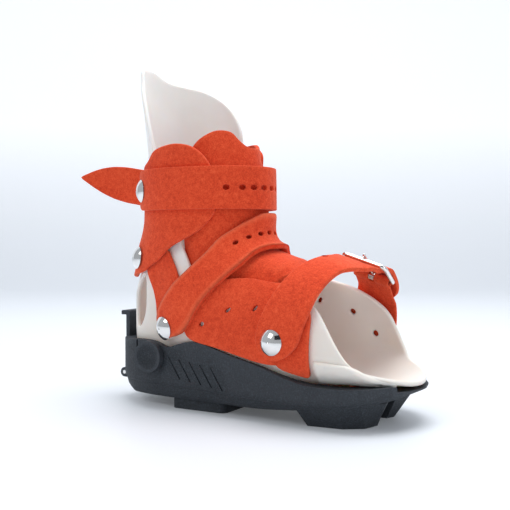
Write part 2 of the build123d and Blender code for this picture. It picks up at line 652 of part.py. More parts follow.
def plan_curve():
    """x and half width along one side of the sole, rounded at both ends"""
    top = [Vector(x, half, 0) for x, half in zip(OUT_X, OUT_HALF)]
    low = [Vector(p.X, -p.Y, 0) for p in top[1:-1]][::-1]
    outline = Edge.make_spline(top + low, periodic=True)
    points = np.array([tuple(outline @ t) for t in np.linspace(0, 1, 900)])
    points = points[points[:, 1] >= 0]
    return points[np.argsort(points[:, 0])]


PLAN = plan_curve()


def half_width(x):
    return float(np.interp(x, PLAN[:, 0], PLAN[:, 1]))


def polygon(points):
    return Wire.make_polygon([Vector(*p) for p in points], close=True)


def sole_profile(x):
    """outline across the sole at x: flat underside, sloped skirt, crease, flank"""
    half = max(half_width(x), 2.2)
    under = float(interp(x, UNDER_X, UNDER_Z))
    crease = float(interp(x, CREASE_X, CREASE_Z))
    k = min(1.0, half / 12)          # skirt shrinks where the sole is narrow
    side = [(half - 4.6 * k, under), (half - 2.9 * k, under + 0.9 * (crease - under) * 0.3),
            (half - 1.15 * k, crease - 0.5), (half - 0.35 * k, crease),
            (half, crease + 2.5), (half, 44.0)]
    return polygon([(x, y, z) for y, z in side] + [(x, -y, z) for y, z in side[::-1]])


def cavity_section(z, form_z):
    """closed curve at height z round the form's outer offset at form_z"""
    angles = np.linspace(0, 2 * math.pi, 48, endpoint=False)
    aim = np.stack([np.cos(angles), np.sin(angles), np.zeros_like(angles)], -1)
    points = ray_hit(np.array([22.0, 0.0, form_z]), aim, 110.0, SHELL_T + TRAY_GAP)
    spline = Edge.make_spline([Vector(float(p[0]), float(p[1]), z) for p in points],
                              periodic=True)
    return Wire([spline])


def above_rim():
    """everything over the rim line"""
    (x0, z0), (x1, z1) = RIM[0], RIM[-1]
    corners = [Vector(x1, 0, z1), Vector(x1, 0, RIM_CUT_TOP),
               Vector(x0, 0, RIM_CUT_TOP), Vector(x0, 0, z0)]
    outline = Wire([Edge.make_spline([Vector(x, 0, z) for x, z in RIM])]
                   + [Edge.make_line(a, b) for a, b in zip(corners, corners[1:])])
    return extrude(Face(outline), 60, dir=(0, 1, 0), both=True)


def front_cleat(low, high):
    return Solid.make_loft([polygon([(x, y, 0) for x, y in low]),
                            polygon([(x, y, CLEAT_TOP) for x, y in high])])


def build_sole():
    body = Solid.make_loft([sole_profile(x) for x in SOLE_X])
    cavity = Solid.make_loft([cavity_section(z, form_z) for z, form_z in CAVITY])
    sole = one(body - above_rim() - cavity)
    heel_cleat = fillet((Pos(-2, 0, 3.4) * Box(32, 50, 6.8)).edges().filter_by(Axis.Z), 3.5)
    near = front_cleat(CLEAT_LOW, CLEAT_HIGH)
    far = front_cleat(*[[(x, -y) for x, y in outline[::-1]]
                        for outline in (CLEAT_LOW, CLEAT_HIGH)])
    sole = one(sole + heel_cleat + (near - cavity) + (far - cavity))
    # slanting grooves in both flanks
    for i in range(GROOVE_COUNT):
        x = GROOVE_X + i * GROOVE_PITCH
        for side in SIDES:
            y = side * (half_width(x) - GROOVE_DEPTH + 2.0)
            sole = sole - Pos(x, y, 21.5 - 0.8 * i) * Rot(0, -34, 0) * Box(0.7, 4.0, 13.0)
    # lugs for the latch pin, knob holes with their recesses, and slits
    for side in SIDES:
        lug_y = side * (LATCH_W / 2 + 2.2)
        lug = Pos(LATCH_X + 4.0, lug_y, LATCH_Z) * Box(8.0, 3.6, 5.2)
        nose = Pos(LATCH_X, lug_y, LATCH_Z) * y_cylinder(2.6, 3.6)
        sole = sole + ((lug + nose) - cavity)
        sole = sole - Pos(KNOB_X, side * 29, KNOB_Z) * y_cylinder(3.06, 8)
        sole = sole - Pos(KNOB_X, side * 35.25, KNOB_Z) * y_cylinder(KNOB_R + 0.3, 10)
        sole = sole - Pos(-38, side * 29, 33) * Box(1.2, 16, 13)
    # room for the latch, and the pin hole
    pivot = Pos(LATCH_X, 0, LATCH_Z)
    sole = sole - pivot * y_cylinder(2.9, LATCH_W + 0.8)
    sole = sole - Pos(LATCH_X - 3.4, 0, LATCH_Z + 14) * Box(12.0, LATCH_W + 0.8, 28)
    return one(sole - pivot * y_cylinder(PIN_R + 0.02, 40))


def build_latch():
    """upright heel lever with a lip at its top"""
    pivot = Pos(LATCH_X, 0, LATCH_Z)
    lever = (pivot * y_cylinder(2.5, LATCH_W)
             + Pos(LATCH_X - 0.7, 0, LATCH_Z + 16.8) * Box(2.4, LATCH_W, 33.6)
             + Pos(LATCH_X - 2.6, 0, LATCH_Z + 32.4) * Box(5.2, LATCH_W, 2.4))
    lever = fillet(lever.edges().filter_by(Axis.Y).group_by(Axis.Z)[-1], 0.9)
    return one(lever - pivot * y_cylinder(PIN_R + 0.05, 30))


def build_knobs():
    """dished side knobs with their stems"""
    knobs = []
    for side in SIDES:
        knob = Pos(0, 0, KNOB_H / 2) * Cylinder(KNOB_R, KNOB_H)
        knob = knob - Pos(0, 0, KNOB_H + 9.2) * Sphere(11.2)
        knob = knob + Pos(0, 0, -1.2) * Cylinder(3.0, 2.8)
        plane = Plane(origin=(KNOB_X, side * 30.35, KNOB_Z), z_dir=(0, side, 0))
        knobs.append(one(plane * knob))
    return Compound(knobs)


# ---- build and export ----
bands = {"ankle": Band(ANKLE, 37.0), "instep": Band(INSTEP, 34.0),
         "forefoot": Band(FOREFOOT, 33.0)}
caps, washers = build_rivets()
parts = {
    "sole": build_sole(),
    "heel_latch": build_latch(),
    "latch_pin": Pos(LATCH_X, 0, LATCH_Z) * y_cylinder(PIN_R, LATCH_W + 8.2),
    "side_knobs": build_knobs(),
    "shell": build_shell(),
    "tongue": build_tongue(),
    "cuff_panel_near": build_cuff(CUFF_LOW, CUFF_TOP, "near"),
    "cuff_panel_far": build_cuff(mirror_y(CUFF_LOW), CUFF_TOP_FAR, "far"),
    "heel_panel_near": build_heel_panel(HEEL_BACK, HEEL_FRONT, "near"),
    "heel_panel_far": build_heel_panel(mirror_y(HEEL_BACK), mirror_y(HEEL_FRONT), "far"),
    "base_panel_near": build_base_panel(BASE_LOW, BASE_TOP, VENTS, "near"),
    "base_panel_far": build_base_panel(BASE_LOW_FAR, BASE_TOP_FAR,
                                       mirror_y(VENTS) + FAR_VENTS, "far"),
    "ankle_strap": build_ankle_strap(bands["ankle"]),
    "instep_strap": build_strap(bands["instep"], 15.0, posts["instep_near"], INSTEP_HOLES),
    "forefoot_strap": build_strap(bands["forefoot"], 12.0, posts["forefoot_near"],
                                  FOREFOOT_HOLES),
    "rivet_caps": caps,
    "rivet_washers": washers,
}
for name, band in bands.items():
    parts[name + "_buckle_tab"] = build_tab(band, posts[name + "_far"])
    parts[name + "_buckle_frame"] = build_frame(band)
    parts[name + "_buckle_prong"] = build_prong(band)

os.makedirs("parts", exist_ok=True)
for name, shape in parts.items():
    export_step(shape, f"parts/{name}.step")
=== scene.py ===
"""A boot: white shell round a foot-and-leg form, with orange felt panels, tongue and three
buckled straps. The toe points along +X, the leg rises along +Z, the near side is -Y and
the far side +Y. The form is measured in millimetres; meshes are built in metres."""
import bpy
import bmesh
import math
import numpy as np
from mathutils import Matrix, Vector, geometry


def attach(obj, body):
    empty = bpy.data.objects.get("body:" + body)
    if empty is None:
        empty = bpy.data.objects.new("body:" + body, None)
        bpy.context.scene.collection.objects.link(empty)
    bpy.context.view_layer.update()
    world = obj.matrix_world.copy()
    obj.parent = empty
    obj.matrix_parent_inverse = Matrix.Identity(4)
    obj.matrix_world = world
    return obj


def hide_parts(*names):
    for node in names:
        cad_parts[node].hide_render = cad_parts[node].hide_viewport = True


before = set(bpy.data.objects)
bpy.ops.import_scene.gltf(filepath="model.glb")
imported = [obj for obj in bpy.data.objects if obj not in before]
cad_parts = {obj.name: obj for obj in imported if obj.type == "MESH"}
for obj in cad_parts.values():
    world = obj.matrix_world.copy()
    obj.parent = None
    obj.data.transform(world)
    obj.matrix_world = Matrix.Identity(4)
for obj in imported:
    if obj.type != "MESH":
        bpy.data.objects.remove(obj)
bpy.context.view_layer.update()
scene = bpy.context.scene
MM = 0.001

# ---------------------------------------------------------------- the form (mm)
# leg sections by height: back and front in x, half width in y
LEG_Z = [10, 20, 35, 55, 75, 100, 125, 150, 170, 195]
LEG_BACK = [-46, -49, -52, -52.5, -47, -44, -44, -46, -49.5, -55]
LEG_FRONT = [0, 0, 4, 10, 15, 19.5, 19, 14, 8, 1]
LEG_HALF = [18, 20, 22.5, 22.5, 21.5, 21.5, 22, 23, 22, 18]
LEG_BOTTOM, LEG_BOTTOM_BLEND = 11.8, 16.0
# foot sections along x: half width in y, height of the top
FOOT_X = [-50, -30, 0, 25, 45, 60, 75, 90, 100, 112]
FOOT_HALF = [20, 25, 27, 28.5, 30, 31, 31.5, 28, 20, 8]
FOOT_TOP = [70, 80, 88, 79, 73, 71.5, 66, 54, 42, 30]
# height of the underside along x
FLOOR_X = [20, 45, 60, 75, 90, 112]
FLOOR_Z = [11.8, 12.2, 14.5, 18.5, 20.5, 21.5]
FOOT_BACK, FOOT_BACK_BLEND = -14, 10.0
WIDEST_BASE, WIDEST_SHARE = 20.0, 0.30  # the widest level is this share up from the base
FOOT_POWER = 2.3                        # exponent of the superellipse section


def interp(x, stations, values):
    """monotone cubic through (stations, values), flat beyond the ends"""
    stations = np.asarray(stations, float)
    values = np.asarray(values, float)
    x = np.asarray(x, float)
    gap = np.diff(stations)
    rise = np.diff(values) / gap
    slope = np.zeros_like(values)
    slope[1:-1] = np.where(rise[:-1] * rise[1:] > 0,
                           2 * rise[:-1] * rise[1:] / (rise[:-1] + rise[1:] + 1e-12), 0)
    slope[0] = rise[0]
    slope[-1] = rise[-1]
    held = np.clip(x, stations[0], stations[-1])
    i = np.clip(np.searchsorted(stations, held) - 1, 0, len(stations) - 2)
    t = (held - stations[i]) / gap[i]
    return ((2 * t**3 - 3 * t**2 + 1) * values[i] + (t**3 - 2 * t**2 + t) * gap[i] * slope[i]
            + (-2 * t**3 + 3 * t**2) * values[i + 1] + (t**3 - t**2) * gap[i] * slope[i + 1])


def ease(t):
    t = np.clip(t, 0, 1)
    return t * t * (3 - 2 * t)


def unit(vector):
    return vector / np.linalg.norm(vector)


def unit_rows(vectors):
    return vectors / np.maximum(np.linalg.norm(vectors, axis=-1, keepdims=True), 1e-9)


def blend_max(first, second, width):
    share = np.clip(0.5 + 0.5 * (first - second) / width, 0, 1)
    return second * (1 - share) + first * share + width * share * (1 - share)


def blend_min(first, second, width):
    share = np.clip(0.5 + 0.5 * (second - first) / width, 0, 1)
    return second * (1 - share) + first * share - width * share * (1 - share)


def leg_form(x, y, z):
    """elliptical sections stacked in z"""
    back, front = interp(z, LEG_Z, LEG_BACK), interp(z, LEG_Z, LEG_FRONT)
    width = interp(z, LEG_Z, LEG_HALF)
    middle, depth = (back + front) / 2, (front - back) / 2
    level = np.sqrt(((x - middle) / depth) ** 2 + (y / width) ** 2)
    slope = (np.sqrt(((x - middle) / depth**2) ** 2 + (y / width**2) ** 2)
             / np.maximum(level, 1e-6))
    return blend_max((level - 1) / np.maximum(slope, 1e-6), LEG_BOTTOM - z, LEG_BOTTOM_BLEND)


def foot_form(x, y, z):
    """superellipse sections along x"""
    half, top = interp(x, FOOT_X, FOOT_HALF), interp(x, FOOT_X, FOOT_TOP)
    bottom = interp(x, FLOOR_X, FLOOR_Z)
    widest = WIDEST_BASE + WIDEST_SHARE * (top - WIDEST_BASE)
    power = FOOT_POWER
    reach = np.where(z > widest, top - widest, widest - bottom)
    height = np.abs(z - widest) / reach
    level = (np.abs(y / half) ** power + height**power + 1e-12) ** (1 / power)
    slope = (np.sqrt((np.abs(y / half) ** (power - 1) / half) ** 2
                     + (height ** (power - 1) / reach) ** 2)
             / np.maximum(level, 1e-6) ** (power - 1))
    return blend_max((level - 1) / np.maximum(slope, 1e-6), FOOT_BACK - x, FOOT_BACK_BLEND)


def form(points):
    """signed distance-like value of the foot-and-leg form, 0 on its surface"""
    x, y, z = points[..., 0], points[..., 1], points[..., 2]
    return blend_min(leg_form(x, y, z), foot_form(x, y, z), interp(z, [15, 45], [3.0, 14.0]))


def gradient(points, step=0.05):
    result = np.zeros(points.shape)
    for i in range(3):
        shift = np.zeros(3)
        shift[i] = step
        result[..., i] = (form(points + shift) - form(points - shift)) / (2 * step)
    return result


def normal(points):
    return unit_rows(gradient(points))


def snap(points):
    """points moved on to the surface of the form by damped Newton steps"""
    points = np.array(points, float)
    for _ in range(10):
        grad = gradient(points)
        square = np.maximum((grad**2).sum(-1, keepdims=True), 1e-6)
        points = points - grad / square * form(points)[..., None] * 0.9
    return points


# ------------------------------------------------- unrolled coordinates of the form
# Sections of the form fan round a pivot in front of the ankle. A station is negative
# towards the toe, runs round the heel up to TURN, and goes on up the leg.
PIVOT_X, PIVOT_Z, PIVOT_R = 48.0, 100.0, 30.0
TURN = PIVOT_R * math.pi / 2
# distance from the pivot to the middle of the section, by fan angle in degrees
FOOT_DEPTH, LEG_DEPTH = 54, 61.0
FAN_ANGLES = [0, 22, 45, 68, 90]
FAN_DEPTHS = [FOOT_DEPTH, 68, 80, 72, LEG_DEPTH]
TOE_DEPTH_SLOPE = 0.16
SEARCH_R = 75.0
ROUND_R = 26.0  # mm per radian in the unrolled plane


def tube(station, angle):
    """surface point at a station and angle (0 at sole and back, pi at instep and
    shin, + towards +Y)"""
    station, angle = np.broadcast_arrays(np.asarray(station, float), np.asarray(angle, float))
    fan = np.clip(station / PIVOT_R, 0, math.pi / 2)
    away = np.stack([-np.sin(fan), np.zeros_like(fan), -np.cos(fan)], -1)
    pivot = np.stack([PIVOT_X + np.where(station < 0, -station, 0), np.zeros_like(station),
                      PIVOT_Z + np.where(station > TURN, station - TURN, 0)], -1)
    depth = interp(fan * 180 / math.pi, FAN_ANGLES, FAN_DEPTHS)
    depth = np.where(station < 0, FOOT_DEPTH + (-station) * TOE_DEPTH_SLOPE, depth)
    centre = pivot + away * depth[..., None]
    ray = np.cos(angle)[..., None] * away + np.sin(angle)[..., None] * np.array([0, 1.0, 0])
    low, high = np.zeros(station.shape), np.full(station.shape, SEARCH_R)
    for _ in range(30):
        middle = (low + high) / 2
        value = form(centre + ray * middle[..., None])
        low, high = np.where(value < 0, middle, low), np.where(value < 0, high, middle)
    return centre + ray * low[..., None]


def tube_surface(plane):
    """points and normals at (station, angle * ROUND_R)"""
    points = tube(plane[:, 0], plane[:, 1] / ROUND_R)
    return points, normal(points)


def unroll_point(point):
    """station and angle of a point"""
    x, y, z = point
    if x > PIVOT_X and z < PIVOT_Z:
        station, away, pivot = -(x - PIVOT_X), (0, -1), (x, PIVOT_Z)
        depth = FOOT_DEPTH + (x - PIVOT_X) * TOE_DEPTH_SLOPE
    elif z > PIVOT_Z:
        station, away, pivot = TURN + z - PIVOT_Z, (-1, 0), (PIVOT_X, z)
        depth = LEG_DEPTH
    else:
        fan = math.atan2(PIVOT_X - x, PIVOT_Z - z)
        station, pivot = fan * PIVOT_R, (PIVOT_X, PIVOT_Z)
        away = (-math.sin(fan), -math.cos(fan))
        depth = float(interp(fan * 180 / math.pi, FAN_ANGLES, FAN_DEPTHS))
    outward = (x - pivot[0]) * away[0] + (z - pivot[1]) * away[1] - depth
    return station, math.atan2(y, outward)


def unroll(points, centre=0.0):
    """points -> (station, angle * ROUND_R), angles unwrapped about centre"""
    result = []
    for point in points:
        station, angle = unroll_point(point)
        while angle < centre - math.pi:
            angle += 2 * math.pi
        while angle > centre + math.pi:
            angle -= 2 * math.pi
        result.append((station, angle * ROUND_R))
    return np.array(result)


# ---------------------------------------------------------------- curves and polygons
def lengths_along(points):
    return np.r_[0, np.cumsum(np.linalg.norm(np.diff(points, axis=0), axis=1))]


def by_column(method, wanted, stations, table):
    """every column of table interpolated at the wanted stations"""
    return np.stack([method(wanted, stations, column) for column in table.T], -1)


def curve_through(points, count=60):
    """smooth open curve through points"""
    points = np.asarray(points, float)
    along = lengths_along(points)
    return by_column(interp, np.linspace(0, along[-1], count), along, points)


def resample(points, count):
    """count points evenly along a smooth curve through points"""
    curve = curve_through(points, 12 * count)
    along = lengths_along(curve)
    return by_column(np.interp, np.linspace(0, along[-1], count), along, curve)


def even_loop(loop, step):
    """closed polygon re-spaced at about step"""
    loop = np.asarray(loop, float)
    closed = np.vstack([loop, loop[:1]])
    along = lengths_along(closed)
    count = max(8, int(round(along[-1] / step)))
    wanted = np.linspace(0, along[-1], count, endpoint=False)
    return by_column(np.interp, wanted, along, closed)


def soften_corners(loop, radius):
    """closed polygon with its corners rounded by smoothing twice over about radius"""
    step = 0.4
    loop = even_loop(loop, step)
    reach = max(1, int(radius / step))
    weights = np.hanning(2 * reach + 3)[1:-1]
    weights /= weights.sum()
    for _ in range(2):
        wrapped = np.concatenate([loop[-reach:], loop, loop[:reach]])
        loop = np.stack([np.convolve(wrapped[:, i], weights, "valid") for i in range(2)], -1)
    return loop


def loop_between(low, high, corner):
    """closed outline from two open edges that run the same way"""
    return soften_corners(np.vstack([low, high[::-1]]), corner)


def inside(points, loop):
    """which points lie inside a closed polygon"""
    x, y = points[:, 0], points[:, 1]
    result = np.zeros(len(points), bool)
    for (x0, y0), (x1, y1) in zip(loop, np.roll(loop, -1, axis=0)):
        if y0 == y1:
            continue
        crosses = (y0 > y) != (y1 > y)
        result ^= crosses & (x < (x1 - x0) * (y - y0) / (y1 - y0) + x0)
    return result


def in_sheet(points, loops):
    """which points lie inside the first loop and outside all the others"""
    result = inside(points, loops[0])
    for hole in loops[1:]:
        result &= ~inside(points, hole)
    return result


def edge_distance(points, loop):
    result = np.full(len(points), 1e9)
    for start, end in zip(loop, np.roll(loop, -1, axis=0)):
        edge = end - start
        t = np.clip(((points - start) @ edge) / max(edge @ edge, 1e-12), 0, 1)
        gap = np.linalg.norm(points - start - t[:, None] * edge, axis=1)
        result = np.minimum(result, gap)
    return result


def signed_area(loop):
    ahead = np.roll(loop, -1, axis=0)
    return 0.5 * np.sum(loop[:, 0] * ahead[:, 1] - ahead[:, 0] * loop[:, 1])


def surface_ring(point, radius_along, radius_round, count=20):
    """oval round a point of the form, in the unrolled plane"""
    centre = unroll([snap([point])[0]])[0]
    probe = 0.5
    points, _ = tube_surface(np.array([centre, centre + [probe, 0], centre + [0, probe]]))
    scale_along = np.linalg.norm(points[1] - points[0]) / probe
    scale_round = np.linalg.norm(points[2] - points[0]) / probe
    angle = np.linspace(0, 2 * math.pi, count, endpoint=False)
    return np.stack([centre[0] + radius_along / scale_along * np.cos(angle),
                     centre[1] + radius_round / scale_round * np.sin(angle)], -1)


# ---------------------------------------------------------------- sheets
def sheet_loops(outline, holes, step):
    """outline counter-clockwise, holes clockwise, evenly spaced"""
    outline = even_loop(outline, step)
    loops = [outline[::-1] if signed_area(outline) < 0 else outline]
    for hole in holes:
        hole = even_loop(hole, 0.7)
        loops.append(hole[::-1] if signed_area(hole) > 0 else hole)
    return loops


def fill_points(loops, spacing):
    """staggered grid inside the loops, clear of their edges"""
    low, high = loops[0].min(0), loops[0].max(0)
    grid_x, grid_y = np.meshgrid(np.arange(low[0], high[0], spacing),
                                 np.arange(low[1], high[1], spacing * 0.866))
    grid_x = grid_x + (np.arange(grid_x.shape[0]) % 2)[:, None] * spacing / 2
    points = np.stack([grid_x.ravel(), grid_y.ravel()], -1)
    keep = in_sheet(points, loops) & (edge_distance(points, loops[0]) > 0.6 * spacing)
    for hole in loops[1:]:
        keep &= edge_distance(points, hole) > 0.5 * spacing
    return points[keep]


def triangulate(plane, loops, members):
    """triangles over the plane points, as indices into them"""
    edges = []
    for indices in members:
        edges += list(zip(indices.tolist(), np.roll(indices, -1).tolist()))
    result = geometry.delaunay_2d_cdt([Vector(point) for point in plane], edges, [], 0, 1e-7)
    points = np.array([tuple(point) for point in result[0]])
    triangles = np.array([face for face in result[2] if len(face) == 3])
    source = np.array([origin[0] if len(origin) else -1 for origin in result[3]])
    triangles = source[triangles[in_sheet(points[triangles].mean(1), loops)]]
    return triangles[(triangles >= 0).all(1)]


def rim_directions(points, normals, loops, members, surface):
    """direction out of the sheet at every rim point, zero elsewhere"""
    result = np.zeros_like(points)
    for loop, indices in zip(loops, members):
        rim = points[indices]
        tangent = unit_rows(np.roll(rim, -1, 0) - np.roll(rim, 1, 0))
        across = unit_rows(np.cross(tangent, normals[indices]))
        flat_tangent = np.roll(loop, -1, 0) - np.roll(loop, 1, 0)
        flat_out = unit_rows(np.stack([flat_tangent[:, 1], -flat_tangent[:, 0]], -1))
        outside, _ = surface(loop + flat_out * 0.4)
        agree = ((outside - rim) * across).sum(-1)
        sign = 1.0 if (agree >= 0).sum() >= (agree < 0).sum() else -1.0
        result[indices] = across * sign
    return result


def offset_at(offset, plane):
    value = offset(plane) if callable(offset) else offset
    return np.broadcast_to(np.asarray(value, float), (len(plane),))


def sheet(name, node, slot, outline, holes, surface, inner, outer, spacing, step, rim):
    """closed sheet between two offsets of a surface, taking the place of a CAD node.
    outline and holes lie in the plane of surface(plane) -> (points, normals); the
    edges have rounded corners of radius rim"""
    loops = sheet_loops(outline, holes, step)
    plane = np.vstack(loops + [fill_points(loops, spacing)])
    total, rim_total = len(plane), sum(len(loop) for loop in loops)
    members = np.split(np.arange(rim_total), np.cumsum([len(loop) for loop in loops])[:-1])
    triangles = triangulate(plane, loops, members)
    points, normals = surface(plane)

    # turn triangles to face along the normals
    first, second, third = (points[triangles[:, i]] for i in range(3))
    facing = (np.cross(second - first, third - first) * normals[triangles].mean(1)).sum(-1)
    flip = facing < 0
    triangles[flip] = triangles[flip][:, ::-1]

    inner, outer = offset_at(inner, plane), offset_at(outer, plane)
    outward = rim_directions(points, normals, loops, members, surface)
    rim = min(rim, 0.49 * float((outer - inner).min()))
    verts = [points - outward * rim + normals * outer[:, None],
             points - outward * rim + normals * inner[:, None]]
    faces = triangles.tolist() + (triangles[:, ::-1] + total).tolist()

    # rim rows run from the outer face round to the inner one
    rim_points, rim_normals = points[:rim_total], normals[:rim_total]
    rows = [np.arange(rim_total)]
    for steps, offset, side in (((1, 2, 3), outer, -1), ((3, 2, 1), inner, 1)):
        for k in steps:
            angle = k * math.pi / 6
            reach = -rim + rim * math.sin(angle)
            depth = offset[:rim_total] + side * (rim - rim * math.cos(angle))
            verts.append(rim_points + outward[:rim_total] * reach
                         + rim_normals * depth[:, None])
            rows.append(2 * total + (len(rows) - 1) * rim_total + np.arange(rim_total))
    rows.append(total + np.arange(rim_total))
    for indices in members:
        ahead = np.roll(indices, -1)
        for upper, lower in zip(rows[:-1], rows[1:]):
            faces += np.stack([upper[ahead], upper[indices],
                               lower[indices], lower[ahead]], -1).tolist()

    mesh = bpy.data.meshes.new(name)
    mesh.from_pydata([tuple(vert) for vert in np.vstack(verts) * MM], [], faces)
    mesh.validate()
    mesh.materials.append(SLOT_MATERIALS[slot])
    mesh.update()
    piece = bpy.data.objects.new(name, mesh)
    scene.collection.objects.link(piece)
    face_outward(mesh)
    smooth(mesh)
    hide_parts(node)
    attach(piece, "boot")


def face_outward(mesh):
    work = bmesh.new()
    work.from_mesh(mesh)
    bmesh.ops.recalc_face_normals(work, faces=work.faces)
    if work.calc_volume(signed=True) < 0:
        bmesh.ops.reverse_faces(work, faces=work.faces)
    work.to_mesh(mesh)
    work.free()


def smooth(mesh):
    for polygon in mesh.polygons:
        polygon.use_smooth = True


# ---------------------------------------------------------------- materials
class Shader:
    """a material with a Principled surface; every method adds a node and returns
    its output"""

    def __init__(self, name):
        self.material = bpy.data.materials.new(name)
        self.material.use_nodes = True
        self.tree = self.material.node_tree
        self.tree.nodes.clear()
        output = self.node("OutputMaterial")
        self.principled = self.node("BsdfPrincipled")
        self.tree.links.new(self.principled.outputs[0], output.inputs[0])

    def feed(self, node, inputs):
        """links sockets and sets plain values"""
        for key, value in inputs.items():
            if isinstance(value, bpy.types.NodeSocket):
                self.tree.links.new(value, node.inputs[key])
            else:
                node.inputs[key].default_value = value

    def node(self, kind, inputs={}, **settings):
        node = self.tree.nodes.new("ShaderNode" + kind)
        for key, value in settings.items():
            setattr(node, key, value)
        self.feed(node, inputs)
        return node

    def surface(self, inputs):
        self.feed(self.principled, inputs)
        return self.material

    def object_coords(self):
        return self.node("TexCoord").outputs["Object"]

    def height(self, place):
        return self.node("SeparateXYZ", {0: place}).outputs["Z"]

    def noise(self, place, scale, detail, roughness=0.5):
        return self.node("TexNoise", {"Vector": place, "Scale": scale, "Detail": detail,
                                      "Roughness": roughness}).outputs[0]

    def cells(self, place, scale):
        return self.node("TexVoronoi", {"Vector": place, "Scale": scale,
                                        "Randomness": 1.0}).outputs["Distance"]

    def scaled(self, value, factor, plus=None):
        if plus is None:
            return self.node("Math", {0: value, 1: factor}, operation="MULTIPLY").outputs[0]
        return self.node("Math", {0: value, 1: factor, 2: plus},
                         operation="MULTIPLY_ADD").outputs[0]

    def added(self, first, second):
        return self.node("Math", {0: first, 1: second}, operation="ADD").outputs[0]

    def ramp(self, value, stops):
        """stops are (position, colour)"""
        node = self.node("ValToRGB", {0: value})
        elements = node.color_ramp.elements
        for element, (position, colour) in zip(elements, (stops[0], stops[-1])):
            element.position = position
            element.color = (*colour, 1)
        for position, colour in stops[1:-1]:
            elements.new(position).color = (*colour, 1)
        return node.outputs[0]

    def mix(self, factor, first, second):
        return self.node("Mix", {"Factor": factor, "A": first, "B": (*second, 1)},
                         data_type="RGBA").outputs["Result"]

    def map_range(self, value, target, source=(0.0, 1.0)):
        return self.node("MapRange", {
            "Value": value, "From Min": source[0], "From Max": source[1],
            "To Min": target[0], "To Max": target[1]}).outputs[0]

    def bump(self, height, strength, distance, over=None):
        inputs = {"Strength": strength, "Distance": distance, "Height": height}
        if over is not None:
            inputs["Normal"] = over
        return self.node("Bump", inputs).outputs[0]

    def worn_edges(self, colour, edge, start, full, strength):
        """colour turning to edge where the mesh is sharply convex"""
        sharp = self.node("NewGeometry").outputs["Pointiness"]
        worn = self.ramp(sharp, [(start, (0, 0, 0)), (full, (1, 1, 1))])
        return self.mix(self.scaled(worn, factor=strength), colour, edge)


def orange_felt():
    """brushed microfibre: short nap, fine mottling, paler worn edges"""
    dark, base, light = (0.56, 0.042, 0.014), (0.74, 0.072, 0.024), (0.86, 0.115, 0.042)
    shader = Shader("orange_felt")
    place = shader.object_coords()
    fine = shader.noise(place, scale=1500.0, detail=3.0, roughness=0.65)
    medium = shader.noise(place, scale=420.0, detail=4.0, roughness=0.6)
    broad = shader.noise(place, scale=38.0, detail=3.0)
    nap = shader.cells(place, scale=900.0)
    tone = shader.scaled(broad, factor=0.20)
    tone = shader.scaled(medium, factor=0.35, plus=tone)
    tone = shader.scaled(fine, factor=0.45, plus=tone)
    colour = shader.ramp(tone, [(0.36, dark), (0.5, base), (0.64, light)])
    colour = shader.worn_edges(colour, edge=(0.90, 0.18, 0.08), start=0.515, full=0.60,
                               strength=0.5)
    relief = shader.bump(shader.added(fine, nap), strength=0.55, distance=0.00022)
    relief = shader.bump(medium, strength=0.35, distance=0.0005, over=relief)
    return shader.surface({
        "Base Color": colour, "Normal": relief, "Roughness": 0.92,
        "Specular IOR Level": 0.15, "Sheen Weight": 0.22, "Sheen Roughness": 0.45,
        "Sheen Tint": (1.0, 0.62, 0.45, 1)})


def white_plastic():
    """satin white thermoplastic with faint mottling, a little light inside, and painted orange
    bounce light low down
    """
    shader = Shader("white_plastic")
    place = shader.object_coords()
    broad = shader.noise(place, scale=30.0, detail=3.0)
    fine = shader.noise(place, scale=900.0, detail=2.0)
    colour = shader.ramp(broad, [(0.35, (0.84, 0.82, 0.78)), (0.65, (0.90, 0.885, 0.86))])
    # painted orange bounce light: the base colour turns warmer low down, where the soft parts
    # colour the light
    painted_bounce = shader.map_range(shader.height(place), source=(0.035, 0.085), target=(0.75, 0.0))
    relief = shader.bump(fine, strength=0.12, distance=0.00006)
    return shader.surface({
        # base colour mixed towards warm beige low down, which is painted orange bounce light
        "Base Color": shader.mix(painted_bounce, colour, second=(0.83, 0.765, 0.69)),
        "Roughness": shader.map_range(broad, target=(0.34, 0.5)),
        "Normal": shader.bump(broad, strength=0.10, distance=0.0006, over=relief),
        "Subsurface Weight": 0.25, "Subsurface Radius": (1.0, 0.7, 0.55),
        "Subsurface Scale": 0.004, "Specular IOR Level": 0.42})


def black_grain():
    """sintered black: fine grain, slightly grey on worn edges"""
    shader = Shader("black_grain")
    place = shader.object_coords()
    grain = shader.noise(place, scale=1300.0, detail=4.0, roughness=0.7)
    specks = shader.cells(place, scale=1100.0)
    broad = shader.noise(place, scale=60.0, detail=3.0, roughness=0.6)
    colour = shader.ramp(grain, [(0.35, (0.010, 0.013, 0.017)), (0.55, (0.020, 0.026, 0.034)),
                                 (0.72, (0.052, 0.062, 0.076))])
    colour = shader.worn_edges(colour, edge=(0.075, 0.085, 0.10), start=0.52, full=0.62,
                               strength=0.35)
    return shader.surface({
        "Base Color": colour,
        "Roughness": shader.map_range(broad, target=(0.55, 0.78)),
        "Normal": shader.bump(shader.added(grain, specks), strength=0.7, distance=0.00025),
        "Specular IOR Level": 0.45})


def bright_metal():
    """polished nickel with hair scratches"""
    shader = Shader("bright_metal")
    place = shader.object_coords()
    squeezed = shader.node("Mapping", {"Vector": place, "Scale": (1, 12, 1)}).outputs[0]
    scratches = shader.noise(squeezed, scale=700.0, detail=5.0, roughness=0.7)
    broad = shader.noise(place, scale=90.0, detail=3.0)
    return shader.surface({
        "Base Color": shader.ramp(broad, [(0.3, (0.74, 0.73, 0.71)), (0.7, (0.86, 0.86, 0.85))]),
        "Roughness": shader.map_range(scratches, target=(0.05, 0.17)),
        "Normal": shader.bump(scratches, strength=0.05, distance=0.00004),
        "Metallic": 1.0})


